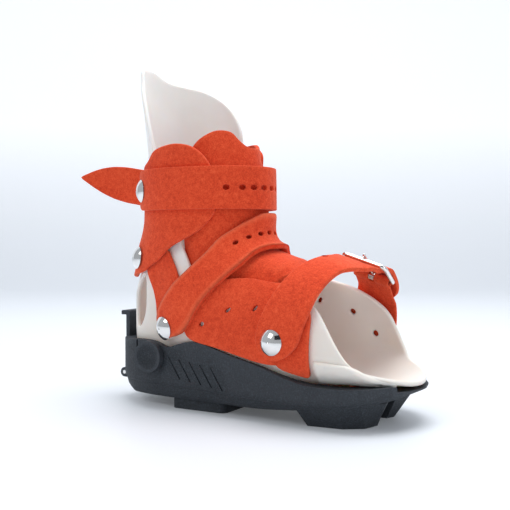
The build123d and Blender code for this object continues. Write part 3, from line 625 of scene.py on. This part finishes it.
ORANGE = orange_felt()
WHITE = white_plastic()
BLACK = black_grain()
METAL = bright_metal()
SLOT_MATERIALS = {"shell_white": WHITE, "panel_orange": ORANGE, "strap_orange": ORANGE,
                  "sole_black": BLACK, "knob_black": BLACK, "steel_bright": METAL}

# ---------------------------------------------------------------- shell
SHELL_T = 2.4
# edges of the shell from toe to top, as x, y, z
TRIM_NEAR = [
    (104, -12, 24), (94, -24, 25.5), (86, -29, 28), (82.3, -31, 31), (76.9, -32, 39),
    (71.5, -31, 47.6), (65.6, -29, 54.9), (50.6, -25.5, 62.7), (42, -24, 66.3),
    (28, -24.5, 66), (14, -26, 64.5), (0, -27.5, 67), (-6.9, -25, 76.9), (-12, -23, 84),
    (-19, -21, 100), (-27, -20, 118), (-33.9, -19, 133.3), (-37.5, -18, 144),
    (-46.4, -12, 164.2), (-53.1, -7, 173.9), (-54, -5, 180)]
TRIM_FAR = [
    (104, 12, 24), (98, 20, 25), (90, 28, 27), (86.2, 31, 33), (82.4, 31, 41),
    (78.5, 30, 49.1), (70.1, 29, 57.6), (59.4, 28, 64.6), (47.7, 26, 69.2), (30, 26, 74),
    (12, 26, 80), (0, 25, 86), (-3, 23, 100), (-3.5, 23, 120), (-3.8, 22, 141.2),
    (-6.5, 21, 149.5), (-12.4, 18, 158.9), (-21.6, 12, 169.8), (-40, 8, 176), (-47, 6, 180)]
TOE_END, TOP_END = -59.0, TURN + 81.5  # stations
# ends of the shell in the unrolled plane
TOE_EDGE = [[TOE_END + 0.6, -10.0], [TOE_END, -4.0], [TOE_END, 4.0], [TOE_END + 0.6, 10.0]]
TOP_EDGE = [[TOP_END - 1.0, 3.2], [TOP_END, 0.5], [TOP_END - 1.0, -2.2]]
# holes: an oval each side of the heel, round ones on the far side of the foot
HEEL_OVAL, OVAL_ALONG, OVAL_ROUND = (-43.0, 18.0, 54.0), 13, 8.5
SHELL_HOLES, SHELL_HOLE_R = ((41, 28, 54), (59, 30, 48.5), (71, 30, 37.5)), 1.5


def mirror_y(points):
    return [(x, -y, z) for x, y, z in points]


near_trim = curve_through(unroll(TRIM_NEAR), 120)
far_trim = curve_through(unroll(TRIM_FAR), 120)


def build_shell():
    outline = np.vstack([near_trim[::-1], TOE_EDGE, far_trim, TOP_EDGE])
    holes = [surface_ring(point, OVAL_ALONG, OVAL_ROUND, count=48)
             for point in (*mirror_y([HEEL_OVAL]), HEEL_OVAL)]
    holes += [surface_ring(point, SHELL_HOLE_R, SHELL_HOLE_R) for point in SHELL_HOLES]
    sheet("shell_wall", "shell", "shell_white", soften_corners(outline, 3.0), holes,
          tube_surface, inner=0.0, outer=SHELL_T, spacing=2.0, step=1.3, rim=1.0)


build_shell()

# rounded lip along each side of the foot, between the wall and the rim of the sole;
# near-side edges as x, y, z
LIP_TOP = [(66.8, -34, 30.4), (74, -34.5, 30.2), (80.5, -34.2, 29.7), (85, -32.5, 28.4),
           (90, -29, 26.2), (95, -23.5, 24.4), (100, -17, 23.6)]
LIP_LOW = [(66.8, -33, 17.4), (74, -33, 18.2), (80.5, -32, 19.2), (85, -30, 19.5),
           (90, -27, 19.8), (95, -22, 20.2), (100, -16, 20.6)]


def lip_outer(plane):
    """outer face swells above the low edge, and thins at both ends"""
    points = tube_surface(plane)[0]
    x, z = points[:, 0], points[:, 2]
    return (2.6 + 1.5 * ease((z - 20.5) / 2.5) * ease((x - 64) / 4)
            * (1 - 0.6 * ease((x - 86) / 12)))


def build_lip(side, low, top):
    low, top = curve_through(unroll(low), 50), curve_through(unroll(top), 50)
    sheet(side + "_plate_lip", "shell", "shell_white", loop_between(low, top, corner=1.2), [],
          tube_surface, inner=0.6, outer=lip_outer, spacing=1.3, step=0.9, rim=1.3)


build_lip("near", LIP_LOW, LIP_TOP)
build_lip("far", mirror_y(LIP_LOW), mirror_y(LIP_TOP))

# ---------------------------------------------------------------- panels round leg and foot
# edges as x, y, z; near side unless named far
CUFF_LOW = [
    (-49, -6, 64), (-45, -16, 65), (-38.3, -24.7, 66.6), (-33.3, -26.1, 70.4),
    (-24.2, -30.5, 74.8), (-14.8, -30.4, 81.5), (-6.1, -29.8, 86), (1.8, -28.1, 90),
    (7.4, -25.7, 94.9), (11, -23.8, 100)]
CUFF_TOP = [
    (-46, -6, 124), (-43, -16, 126), (-38.5, -21.7, 128.2), (-34.5, -24.4, 131.9),
    (-26.1, -27.7, 134.2), (-15.4, -29.4, 135.2), (-6.5, -29, 134.2), (1.3, -27.2, 130.7),
    (6.1, -25.5, 126.1), (10.5, -23.5, 119)]
CUFF_TOP_FAR = [
    (-46, 6, 124), (-43, 16, 126), (-38, 22, 129), (-34, 25, 131), (-26, 28, 133),
    (-15, 29.5, 135), (-6, 29, 136), (2, 27, 136.5), (8, 24, 136), (13, 20, 132)]
HEEL_BACK = [
    (-38.9, -22.5, 69.5), (-34.5, -24.5, 64.5), (-28.8, -26.9, 57), (-26.9, -27.8, 52.5),
    (-27.4, -27.6, 45.7), (-27, -28, 39)]
HEEL_FRONT = [
    (-18.2, -28.5, 81.0), (-13.8, -29.3, 75.4), (-9.3, -30.3, 69), (-6.4, -31, 62),
    (-5.6, -31, 52), (-6, -31, 39)]
BASE_TOP = [
    (-4.0, -31, 60.5), (2.4, -30.8, 63.8), (5, -30.2, 66.4), (14.8, -28.2, 67.9),
    (19.8, -27, 69), (23.8, -26.1, 69.5), (29.1, -25.6, 69.3), (33.5, -25.4, 68.7),
    (38.5, -25.5, 67.6), (43, -25.8, 66.6), (52, -29, 63), (60, -31.5, 58.6),
    (65.5, -34, 52)]
BASE_RIM = [
    (-4.0, -31, 38), (2, -31, 37.6), (8, -31, 36.6), (15, -31.5, 35), (23, -32, 33),
    (31, -32.5, 31), (40, -33, 28.8), (50, -33.5, 26.4), (58, -33.5, 24.6), (65, -33, 23.6)]


def lowered(points, drop):
    return [(x, y, z - drop) for x, y, z in points]


# the felt reaches down almost to the rim of the sole
BASE_LOW = lowered(BASE_RIM, 1.7)
BASE_LOW_FAR = mirror_y(BASE_LOW[:-2]) + [(60, 33.5, 24.6), (69, 33.5, 24), (77, 33, 24)]
BASE_TOP_FAR = mirror_y(lowered(BASE_TOP[:-2], 1.5)) + [(60, 31, 58.6), (70, 32, 54),
                                                        (77, 33, 44)]
VENTS, VENT_R = ((5.1, -32, 44.5), (20.2, -32.5, 52.3), (35.4, -33, 54)), 1.45
PANEL_IN = 2.8


def nearest_gap(points, curve):
    return np.sqrt(((points[:, None] - curve[None]) ** 2).sum(-1)).min(1)


def panel(name, node, low, high, vents=(), corner=2.5, rim=0.5, flare=0.0, outer=4.75):
    low, high = curve_through(unroll(low)), curve_through(unroll(high))

    def lift(plane):
        """how far the low edge stands off, fading upwards and towards the back"""
        if not flare:
            return np.zeros(len(plane))
        to_low, to_high = nearest_gap(plane, low), nearest_gap(plane, high)
        points = tube_surface(plane)[0]
        return (flare * (1 - ease((to_low / (to_low + to_high + 1e-9) - 0.10) / 0.25))
                * interp(points[:, 0], [-50, -37], [0.15, 1.0])
                * interp(points[:, 2], [82, 95], [1.0, 0.0]))

    sheet(name, node, "panel_orange", loop_between(low, high, corner),
          [surface_ring(point, VENT_R, VENT_R) for point in vents], tube_surface,
          inner=lambda plane: PANEL_IN + lift(plane), outer=lambda plane: outer + lift(plane),
          spacing=1.7, step=1.1, rim=rim)


CUFF = dict(corner=3, flare=2.3, rim=0.7, outer=5.0)
panel("near_cuff_panel", "cuff_panel_near", CUFF_LOW, CUFF_TOP, **CUFF)
panel("far_cuff_panel", "cuff_panel_far", mirror_y(CUFF_LOW), CUFF_TOP_FAR, **CUFF)
panel("near_heel_panel", "heel_panel_near", HEEL_BACK, HEEL_FRONT)
panel("far_heel_panel", "heel_panel_far", mirror_y(HEEL_BACK), mirror_y(HEEL_FRONT))
panel("near_base_panel", "base_panel_near", BASE_LOW, BASE_TOP, VENTS, corner=3)
panel("far_base_panel", "base_panel_far", BASE_LOW_FAR, BASE_TOP_FAR, mirror_y(VENTS),
      corner=3)

# ---------------------------------------------------------------- tongue
# top edge from the near side round the shin to the far side, as x, y, z
TONGUE_TOP = [
    (-10, -25, 128), (-5.3, -23.7, 134.9), (0.8, -22, 139.2), (7.5, -18.4, 141.7),
    (12.5, -14.1, 141.2), (15.8, -10, 136), (16.5, -4, 133), (15, 6, 134), (10, 14, 137),
    (4, 19, 137), (-4, 21, 130)]
# half width in radians by station
TONGUE_STATIONS = [0, 14, 30, 38, 47, 60, 75, 88]
TONGUE_HALF = [0.55, 0.75, 1.0, 1.25, 1.4, 1.45, 1.4, 1.2]
TONGUE_IN, TONGUE_OUT, TONGUE_SWELL = -2.6, -0.4, 3.6


def trim_angle(trim, stations):
    """angle of a shell edge at the stations"""
    order = np.argsort(trim[:, 0])
    return interp(stations, trim[:, 0][order], trim[:, 1][order]) / ROUND_R


def tongue_lift(plane):
    """the pad swells out between the two edges of the shell"""
    station, angle = plane[:, 0], plane[:, 1] / ROUND_R
    near_angle = trim_angle(near_trim, station) + 2 * math.pi
    far_angle = trim_angle(far_trim, station)
    margin = np.minimum(near_angle - angle, angle - far_angle) * ROUND_R
    return (TONGUE_SWELL * ease((margin + 1.0) / 9.0) * ease((station + 2) / 10)
            * ease((TURN + 30 - station) / 20))


def build_tongue():
    top = unroll(TONGUE_TOP, math.pi)
    top = top[np.argsort(top[:, 1])]
    stations = np.linspace(TURN + 26, 2, 34)
    half = interp(stations, TONGUE_STATIONS, TONGUE_HALF) * ROUND_R
    middle = math.pi * ROUND_R
    far_side = np.stack([stations, middle - half], -1)
    near_side = np.stack([stations, middle + half], -1)
    outline = np.vstack([far_side[::-1], curve_through(top), near_side])
    sheet("tongue_pad", "tongue", "panel_orange", soften_corners(outline, 3.0), [],
          tube_surface, inner=lambda plane: TONGUE_IN + tongue_lift(plane),
          outer=lambda plane: TONGUE_OUT + tongue_lift(plane),
          spacing=2.0, step=1.3, rim=0.45)


build_tongue()

# ---------------------------------------------------------------- strap bands
# distances of strap and tab faces from the form
STRAP_IN, STRAP_OUT, TAB_OUT = 5.1, 7.4, 6.9
STRAP_W, STRAP_T = 21.5, 2.3
HALF = STRAP_W / 2
LIFT = 0.3                       # extra distance where the band runs flat
CLEARANCE, WIRE_R, FRAME_L = 0.35, 1.1, 13.0  # buckle frame
LOOP_IN, LOOP_OUT = 1.16, 2.55   # radii of the tab's fold round the bar
OVER_TAB = STRAP_IN + 2 * LOOP_OUT + 0.3
BAR_GAP = 2.8                    # the strap is level this far either side of the bar
COLUMNS = 9                      # grid points across a band
MIDDLE = COLUMNS // 2
ACROSS = np.linspace(-1, 1, COLUMNS)


def ankle_edge(station):
    """loop round the leg, 6 mm off the form"""
    points = tube(station, np.linspace(-0.32, -2 * math.pi + 0.34, 60))
    return points + normal(points) * 6.0


# near halves of the instep strap's edges, from the sole to the middle, as x, y, z
INSTEP_UP = [
    (-27.5, -33, 40), (-24.5, -32.6, 47.9), (-19.5, -34.2, 53.8), (-14.4, -34.5, 59),
    (-9.4, -33.7, 65.1), (-1, -31.9, 73.1), (5.7, -29.5, 79.6), (11.3, -25.4, 87),
    (16.2, -21.1, 91.4), (21.1, -15.7, 95.5), (24.6, -10, 98), (26.4, -4.9, 99.4)]
INSTEP_LOW = [
    (-8.5, -34.2, 34.6), (-5.5, -34.5, 38.9), (-0.9, -34.8, 45.6), (3.6, -34.4, 53.2),
    (8.8, -33.5, 59.7), (13.8, -32.1, 64.6), (18.2, -30.1, 69), (24, -25.6, 74.8),
    (29.2, -17.1, 81.1), (32.5, -9.2, 83), (34.2, -3, 83.4)]
# back and front edges of the forefoot strap, near side to far side
FOREFOOT_BACK = [
    (37, -35, 30.5), (37.5, -36, 36), (39.5, -36, 46.5), (44.3, -33.5, 59), (49.4, -28, 69),
    (54, -20, 75.5), (58.6, -10, 78), (60.5, 0, 78), (60.5, 10, 77), (60, 19, 72.5),
    (59, 26, 65), (58.5, 31, 55), (58, 34, 44), (58, 34, 31)]
FOREFOOT_FRONT = [
    (59, -36, 30.5), (60.7, -36.5, 38), (64.9, -35, 51), (68, -31, 61), (71.2, -23, 68),
    (74, -14, 71.5), (77, -6, 71.5), (79.5, 2, 70), (81, 11, 67), (81.5, 19, 62.5),
    (81.5, 26, 55), (81, 31, 47), (80, 33, 39), (79, 33, 31)]


def grid_at(stations, grid, along, across):
    """bilinear value of a grid of rows at a length along and -1..1 across"""
    column = (np.clip(across, -1, 1) + 1) / 2 * (COLUMNS - 1)
    first = np.clip(np.floor(column).astype(int), 0, COLUMNS - 2)
    share = (column - first)[..., None]
    values = np.stack([by_column(np.interp, along, stations, grid[:, i])
                       for i in range(COLUMNS)], 0)
    indices = np.indices(along.shape)
    return values[(first, *indices)] * (1 - share) + values[(first + 1, *indices)] * share


class Band:
    """strip over the form in length along, fraction -1..1 across and distance off it,
    flat across its width near the buckle so the bar can lie straight in it"""

    def __init__(self, first_edge, second_edge, bar_inset):
        first, second = resample(first_edge, 90), resample(second_edge, 90)
        t = np.linspace(0, 1, COLUMNS)[None, :, None]
        self.grid = snap(first[:, None] * (1 - t) + second[:, None] * t)
        self.normals = normal(self.grid)
        self.stations = lengths_along(self.grid[:, MIDDLE])
        self.length = self.stations[-1]
        self.bar = self.length - bar_inset
        self.set_buckle_axes()

    def set_buckle_axes(self):
        """bar point, and directions along the frame, along the bar and outward"""
        frame_middle = self.bar - FRAME_L / 2
        width = self.at(frame_middle, 1) - self.at(frame_middle, -1)
        bar, bar_normal = self.centre(self.bar)
        end, end_normal = self.centre(self.bar - FRAME_L)
        self.bar_point = bar + bar_normal * (STRAP_IN + LOOP_OUT + LIFT)
        end_point = end + end_normal * (STRAP_OUT + CLEARANCE + WIRE_R + LIFT)
        self.frame_dir = unit(end_point - self.bar_point)
        self.bar_dir = unit(width - self.frame_dir * (width @ self.frame_dir))
        self.out_dir = np.cross(self.frame_dir, self.bar_dir)
        if self.out_dir @ bar_normal < 0:
            self.out_dir = -self.out_dir

    def pick(self, along, across):
        """points on the form and unit normals"""
        return (grid_at(self.stations, self.grid, along, across),
                unit_rows(grid_at(self.stations, self.normals, along, across)))

    def at(self, along, across, off=0.0):
        along, across = np.broadcast_arrays(np.asarray(along, float), float(across))
        points, normals = self.pick(along, across)
        return points + normals * off

    def centre(self, along):
        point = self.at(along, 0.0)
        return point, unit(self.at(along, 0.0, 1.0) - point)

    def place(self, along, across, off):
        along, across, off = np.broadcast_arrays(
            np.asarray(along, float), np.asarray(across, float), np.asarray(off, float))
        points, normals = self.pick(along, across)
        curved = points + normals * off[..., None]
        middle_line = np.zeros_like(along)
        centre = grid_at(self.stations, self.grid, along, middle_line)
        upright = unit_rows(grid_at(self.stations, self.normals, along, middle_line))
        upright = unit_rows(upright - (upright @ self.bar_dir)[..., None] * self.bar_dir)
        flat = (centre + upright * (off + LIFT)[..., None]
                + self.bar_dir * (across * STRAP_W / 2)[..., None])
        share = (ease((along - (self.bar - FRAME_L - 12)) / 9)
                 * ease(((self.bar + 13) - along) / 8))[..., None]
        return curved * (1 - share) + flat * share


def strap_rise(along, bar, tail_off):
    """inner distance of the strap: low, over the folded tab, then down to tail_off"""
    raised = STRAP_IN + (OVER_TAB - STRAP_IN) * ease((along - (bar - FRAME_L))
                                                     / (FRAME_L - BAR_GAP))
    return raised - (OVER_TAB - tail_off) * ease((along - (bar + BAR_GAP)) / 9)


ankle = Band(ankle_edge(TURN + 1.5), ankle_edge(TURN + 23.0), bar_inset=37.0)
instep = Band(INSTEP_UP + mirror_y(INSTEP_UP)[::-1], INSTEP_LOW + mirror_y(INSTEP_LOW)[::-1],
              bar_inset=34.0)
forefoot = Band(FOREFOOT_BACK, FOREFOOT_FRONT, bar_inset=33.0)

# ---------------------------------------------------------------- straps
CAP_POINTS = 32


def start_cap(reach):
    angle = np.linspace(math.pi / 2, 3 * math.pi / 2, CAP_POINTS)
    return np.stack([reach + reach * np.cos(angle), HALF * np.sin(angle)], -1)


def end_cap(end, reach):
    angle = np.linspace(-math.pi / 2, math.pi / 2, CAP_POINTS)
    return np.stack([end - reach + reach * np.cos(angle), HALF * np.sin(angle)], -1)


def strap_hole(along, across, radius=1.4):
    angle = np.linspace(0, 2 * math.pi, 20, endpoint=False)
    return np.stack([along + radius * np.cos(angle), across + radius * np.sin(angle)], -1)


def prong_slot(band):
    """round-ended slot before the bar"""
    half_straight, radius = 3.4, 1.45
    angle = np.linspace(0, 2 * math.pi, 28, endpoint=False)
    return np.stack([band.bar - 7.0 + np.sign(np.cos(angle)) * half_straight
                     + radius * np.cos(angle), radius * np.sin(angle)], -1)


def holes_on_band(band, points):
    """holes at the band's grid points nearest the given points"""
    along, across = np.meshgrid(np.linspace(0, band.length, 600), np.linspace(-1, 1, 41),
                                indexing="ij")
    grid = grid_at(band.stations, band.grid, along, across)
    result = []
    for point in snap(points):
        i, j = np.unravel_index(((grid - point) ** 2).sum(-1).argmin(), along.shape)
        result.append(strap_hole(along[i, j], across[i, j] * HALF))
    return result


def build_strap(name, band, outline, holes, tail_off, place):
    def surface(plane):
        along, across = plane[:, 0], plane[:, 1] / HALF
        off = strap_rise(along, band.bar, tail_off)
        points = place(along, across, off)
        return points, unit_rows(place(along, across, off + 1.0) - points)

    sheet(name + "_strap_band", name + "_strap", "strap_orange", outline,
          holes + [prong_slot(band)], surface, inner=0.0, outer=STRAP_T,
          spacing=1.6, step=1.0, rim=0.4)


# the ankle strap leaves the leg past the bar and ends in a long pointed free end
LEAVE = ankle.bar + 16.0
ANKLE_TAIL_OFF = 8.6
TIP = np.array([-112.0, 12.0, 124.0])
leave_off = float(strap_rise(np.array([LEAVE]), ankle.bar, ANKLE_TAIL_OFF)[0])
leave_in = ankle.place(LEAVE, ACROSS, leave_off)
leave_out = ankle.place(LEAVE, ACROSS, leave_off + STRAP_T)
leave_mid = leave_in.mean(0)
leave_dir = unit((leave_in - ankle.place(LEAVE - 1.0, ACROSS, leave_off)).mean(0))
tail_reach = float(np.linalg.norm(TIP - leave_mid))
tip_dir = (TIP - leave_mid) / tail_reach
tail_out = unit(np.cross(TIP - leave_mid, [0, 0, 1.0]))
if tail_out[1] < 0:
    tail_out = -tail_out
tail_up = np.array([0, 0, 1.0]) * (1 if (leave_in[-1] - leave_in[0])[2] > 0 else -1)


def ankle_place(along, across, off):
    """the band up to LEAVE, then a free end that curls a little away from the leg"""
    q = np.clip((along - LEAVE) / tail_reach, 0, 1.05)[..., None]
    path = ((2*q**3 - 3*q**2 + 1) * leave_mid
            + (q**3 - 2*q**2 + q) * leave_dir * tail_reach
            + (-2*q**3 + 3*q**2) * TIP + (q**3 - q**2) * tip_dir * tail_reach)
    settled = ease(q * 3)
    column = (np.clip(across, -1, 1) + 1) / 2 * (COLUMNS - 1)
    columns = np.arange(COLUMNS)
    row = by_column(np.interp, column, columns, leave_in - leave_mid)
    normals = by_column(np.interp, column, columns, (leave_out - leave_in) / STRAP_T)
    flat = tail_up * (across * HALF)[..., None]
    tail = (path + row * (1 - settled) + flat * settled
            + (normals * (1 - settled) + tail_out * settled) * (off - leave_off)[..., None])
    bow = np.sin(np.clip(q, 0, 1) * math.pi)
    tail = tail + tail_out * (bow * 1.5 - 1.2 * (across ** 2)[..., None] * settled)
    return np.where((along > LEAVE)[..., None], tail, ankle.place(along, across, off))


# distance before the tip, fraction of the half width
TAIL_TAPER = np.array([(42, 1.0), (34, 1.0), (25, 0.93), (17, 0.76), (10, 0.52), (4.5, 0.27),
                       (1, 0.10)])
# ankle strap holes: angles past the shin, at one station
ANKLE_HOLE_ANGLES = -math.pi + np.array([0.59, 0.41, 0.26, 0.12, -0.02, -0.17])
ANKLE_HOLE_STATION = TURN + 12.3
# strap holes as x, y, z
INSTEP_HOLES = [(18.6, -21.8, 85), (23, -15.9, 88.4), (26.4, -8.8, 90.6), (27.7, -1.4, 91.4),
                (26.8, 6.2, 90.8), (23.6, 13.2, 88.8)]
FOREFOOT_HOLES = [(60.9, -7.3, 78.3)]


def ankle_outline():
    end = LEAVE + tail_reach
    along, half = end - TAIL_TAPER[:, 0], TAIL_TAPER[:, 1] * HALF
    first_side = curve_through(np.stack([along, -half], -1), 40)
    second_side = curve_through(np.stack([along, half * 0.98], -1), 40)
    return even_loop(np.vstack([start_cap(8), first_side, [[end + 0.2, 0]],
                                second_side[::-1]]), 1.0)


def ankle_holes():
    result = []
    for angle in ANKLE_HOLE_ANGLES:
        point = tube(np.array([ANKLE_HOLE_STATION]), np.array([angle]))[0]
        gaps = np.linalg.norm(ankle.grid[:, MIDDLE] - point, axis=1)
        result.append(strap_hole(float(ankle.stations[gaps.argmin()]), 0.0))
    return result


build_strap("ankle", ankle, ankle_outline(), ankle_holes(), ANKLE_TAIL_OFF, ankle_place)
for name, band, past_bar, points in (("instep", instep, 15, INSTEP_HOLES),
                                     ("forefoot", forefoot, 12, FOREFOOT_HOLES)):
    build_strap(name, band, np.vstack([start_cap(10), end_cap(band.bar + past_bar, 7)]),
                holes_on_band(band, points), TAB_OUT + 0.35, band.place)

# ---------------------------------------------------------------- buckle tabs
TAB_SHARE = 0.965     # tab width as a share of the strap's
FOLD_ROWS = 26
NOTCH_HALF = 1.9      # half width of the notch round the prong


def build_tab(name, band):
    """strap folded round the buckle bar, running on to the end of the band"""
    points, normals = [], []
    for angle in np.linspace(math.radians(200), math.radians(-90), FOLD_ROWS):
        ray = band.frame_dir * math.cos(angle) + band.out_dir * math.sin(angle)
        points.append(band.bar_point + ray * (LOOP_IN + 0.32)
                      + band.bar_dir * (ACROSS * HALF * TAB_SHARE)[:, None])
        normals.append(np.repeat(ray[None], COLUMNS, 0))
    across = ACROSS * TAB_SHARE
    for along in np.linspace(band.bar + 1.2, band.length, 40):
        points.append(band.place(along, across, TAB_OUT - 0.4))
        # past the fold the normals face the form
        normals.append(unit_rows(band.place(along, across, STRAP_IN)
                                 - band.place(along, across, STRAP_IN + 1.0)))
    points, normals = np.array(points), np.array(normals)
    stations = lengths_along(points[:, MIDDLE])

    def surface(plane):
        along, fraction = plane[:, 0], plane[:, 1] / HALF
        return (grid_at(stations, points, along, fraction),
                unit_rows(grid_at(stations, normals, along, fraction)))

    notch_end = float(stations[FOLD_ROWS - 1]) + 1.5
    notched_edge = [[0.0, HALF], [0.0, NOTCH_HALF], [notch_end, NOTCH_HALF],
                    [notch_end, -NOTCH_HALF], [0.0, -NOTCH_HALF], [0.0, -HALF]]
    sheet(name + "_tab", name + "_buckle_tab", "strap_orange",
          np.vstack([notched_edge, end_cap(float(stations[-1]), 8)]), [], surface,
          inner=0.0, outer=1.05, spacing=0.9, step=0.6, rim=0.3)


build_tab("ankle", ankle)
build_tab("instep", instep)
build_tab("forefoot", forefoot)

# ---------------------------------------------------------------- hard parts keep their CAD shape
HARD_SLOTS = {"sole": "sole_black", "heel_latch": "knob_black", "side_knobs": "knob_black",
              "latch_pin": "steel_bright", "rivet_caps": "steel_bright",
              "rivet_washers": "steel_bright"}
for name in ("ankle", "instep", "forefoot"):
    HARD_SLOTS[name + "_buckle_frame"] = "steel_bright"
    HARD_SLOTS[name + "_buckle_prong"] = "steel_bright"
for node, slot in HARD_SLOTS.items():
    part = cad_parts[node]
    part.data.materials.clear()
    part.data.materials.append(SLOT_MATERIALS[slot])

# ---------------------------------------------------------------- stage, light, camera (m)
VIEW_TURN = 30        # degrees the camera is turned about z
FLOOR_HALF_W = 3.0
FLOOR_FRONT, BEND_START, BEND_R, WALL_TOP = -1.2, 0.9, 0.6, 3.0
BEND_STEPS = 24


def floor_material():
    """pale, glowing more with height"""
    shader = Shader("floor_pale")
    glow = shader.map_range(shader.height(shader.object_coords()),
                            source=(0.0, 0.35), target=(0.08, 0.53))
    return shader.surface({"Base Color": (0.72, 0.755, 0.80, 1), "Roughness": 0.5,
                           "Emission Color": (0.95, 0.97, 1.0, 1),
                           "Emission Strength": glow})


def build_floor():
    """floor that bends up into a wall facing the camera"""
    mesh = bpy.data.meshes.new("floor")
    profile = [(FLOOR_FRONT, 0.0), (BEND_START, 0.0)]
    for i in range(1, BEND_STEPS + 1):
        angle = math.pi / 2 * i / BEND_STEPS
        profile.append((BEND_START + BEND_R * math.sin(angle),
                        BEND_R - BEND_R * math.cos(angle)))
    profile.append((BEND_START + BEND_R, WALL_TOP))
    cosine, sine = math.cos(math.radians(VIEW_TURN)), math.sin(math.radians(VIEW_TURN))
    # distance runs away from the camera, across runs to its right
    verts = [(across * cosine - distance * sine, across * sine + distance * cosine, z)
             for distance, z in profile for across in (-FLOOR_HALF_W, FLOOR_HALF_W)]
    faces = [(2 * i, 2 * i + 1, 2 * i + 3, 2 * i + 2) for i in range(len(profile) - 1)]
    mesh.from_pydata(verts, [], faces)
    mesh.update()
    floor = bpy.data.objects.new("floor", mesh)
    mesh.materials.append(floor_material())
    smooth(mesh)
    scene.collection.objects.link(floor)


def build_world():
    world = bpy.data.worlds.new("studio")
    scene.world = world
    world.use_nodes = True
    nodes, links = world.node_tree.nodes, world.node_tree.links
    lighting = nodes["Background"]
    lighting.inputs["Color"].default_value = (0.90, 0.94, 1.0, 1)
    lighting.inputs["Strength"].default_value = 0.50
    # the camera sees a paler backdrop than the one that lights the object
    light_path = nodes.new("ShaderNodeLightPath")
    backdrop = nodes.new("ShaderNodeBackground")
    backdrop.inputs["Color"].default_value = (0.93, 0.95, 0.98, 1)
    backdrop.inputs["Strength"].default_value = 1.0
    mix = nodes.new("ShaderNodeMixShader")
    links.new(light_path.outputs["Is Camera Ray"], mix.inputs[0])
    links.new(lighting.outputs[0], mix.inputs[1])
    links.new(backdrop.outputs[0], mix.inputs[2])
    links.new(mix.outputs[0], nodes["World Output"].inputs[0])


def area_light(name, location, target, size, power, colour):
    light = bpy.data.lights.new(name, "AREA")
    light.shape = "RECTANGLE"
    light.size, light.size_y = size
    light.energy = power
    light.color = colour
    lamp = bpy.data.objects.new(name, light)
    lamp.location = location
    aim = Vector(target) - Vector(location)
    lamp.rotation_euler = aim.to_track_quat("-Z", "Y").to_euler()
    scene.collection.objects.link(lamp)


def build_card():
    """dark card that shows as a dark patch in the rivets"""
    half_w, half_h = 0.2, 0.16
    mesh = bpy.data.meshes.new("card")
    mesh.from_pydata([(-half_w, -half_h, 0), (half_w, -half_h, 0), (half_w, half_h, 0),
                      (-half_w, half_h, 0)], [], [(0, 1, 2, 3)])
    card = bpy.data.objects.new("card", mesh)
    card.location = (0.31, -0.47, 0.40)
    card.visible_camera = False
    aim = Vector((0.03, -0.03, 0.07)) - card.location
    card.rotation_euler = aim.to_track_quat("-Z", "Y").to_euler()
    mesh.materials.append(Shader("card_black").surface({
        "Base Color": (0.01, 0.01, 0.012, 1), "Roughness": 0.9}))
    scene.collection.objects.link(card)


def build_camera():
    lens = bpy.data.cameras.new("camera")
    lens.sensor_width = 36.0
    lens.lens = 57.529412
    lens.clip_start = 0.01
    camera = bpy.data.objects.new("camera", lens)
    camera.location = (0.22785, -0.36495, 0.086)
    look_down = 1.0544  # degrees below level
    camera.rotation_euler = (math.radians(90 - look_down), 0, math.radians(VIEW_TURN))
    scene.collection.objects.link(camera)
    scene.camera = camera


build_floor()
build_world()
area_light("key", location=(-0.35, -0.75, 0.75), target=(0.02, 0, 0.08), size=(0.5, 0.5),
           power=2.2, colour=(1, 0.985, 0.96))
area_light("top", location=(0.05, 0.15, 1.0), target=(0.02, 0, 0.05), size=(0.7, 0.7),
           power=8.4, colour=(1, 1, 1))
area_light("right", location=(0.9, -0.2, 0.45), target=(0.02, 0, 0.08), size=(0.5, 0.8),
           power=1.6, colour=(0.95, 0.975, 1))
build_card()
build_camera()
scene.view_settings.view_transform = "Standard"
scene.view_settings.look = "None"
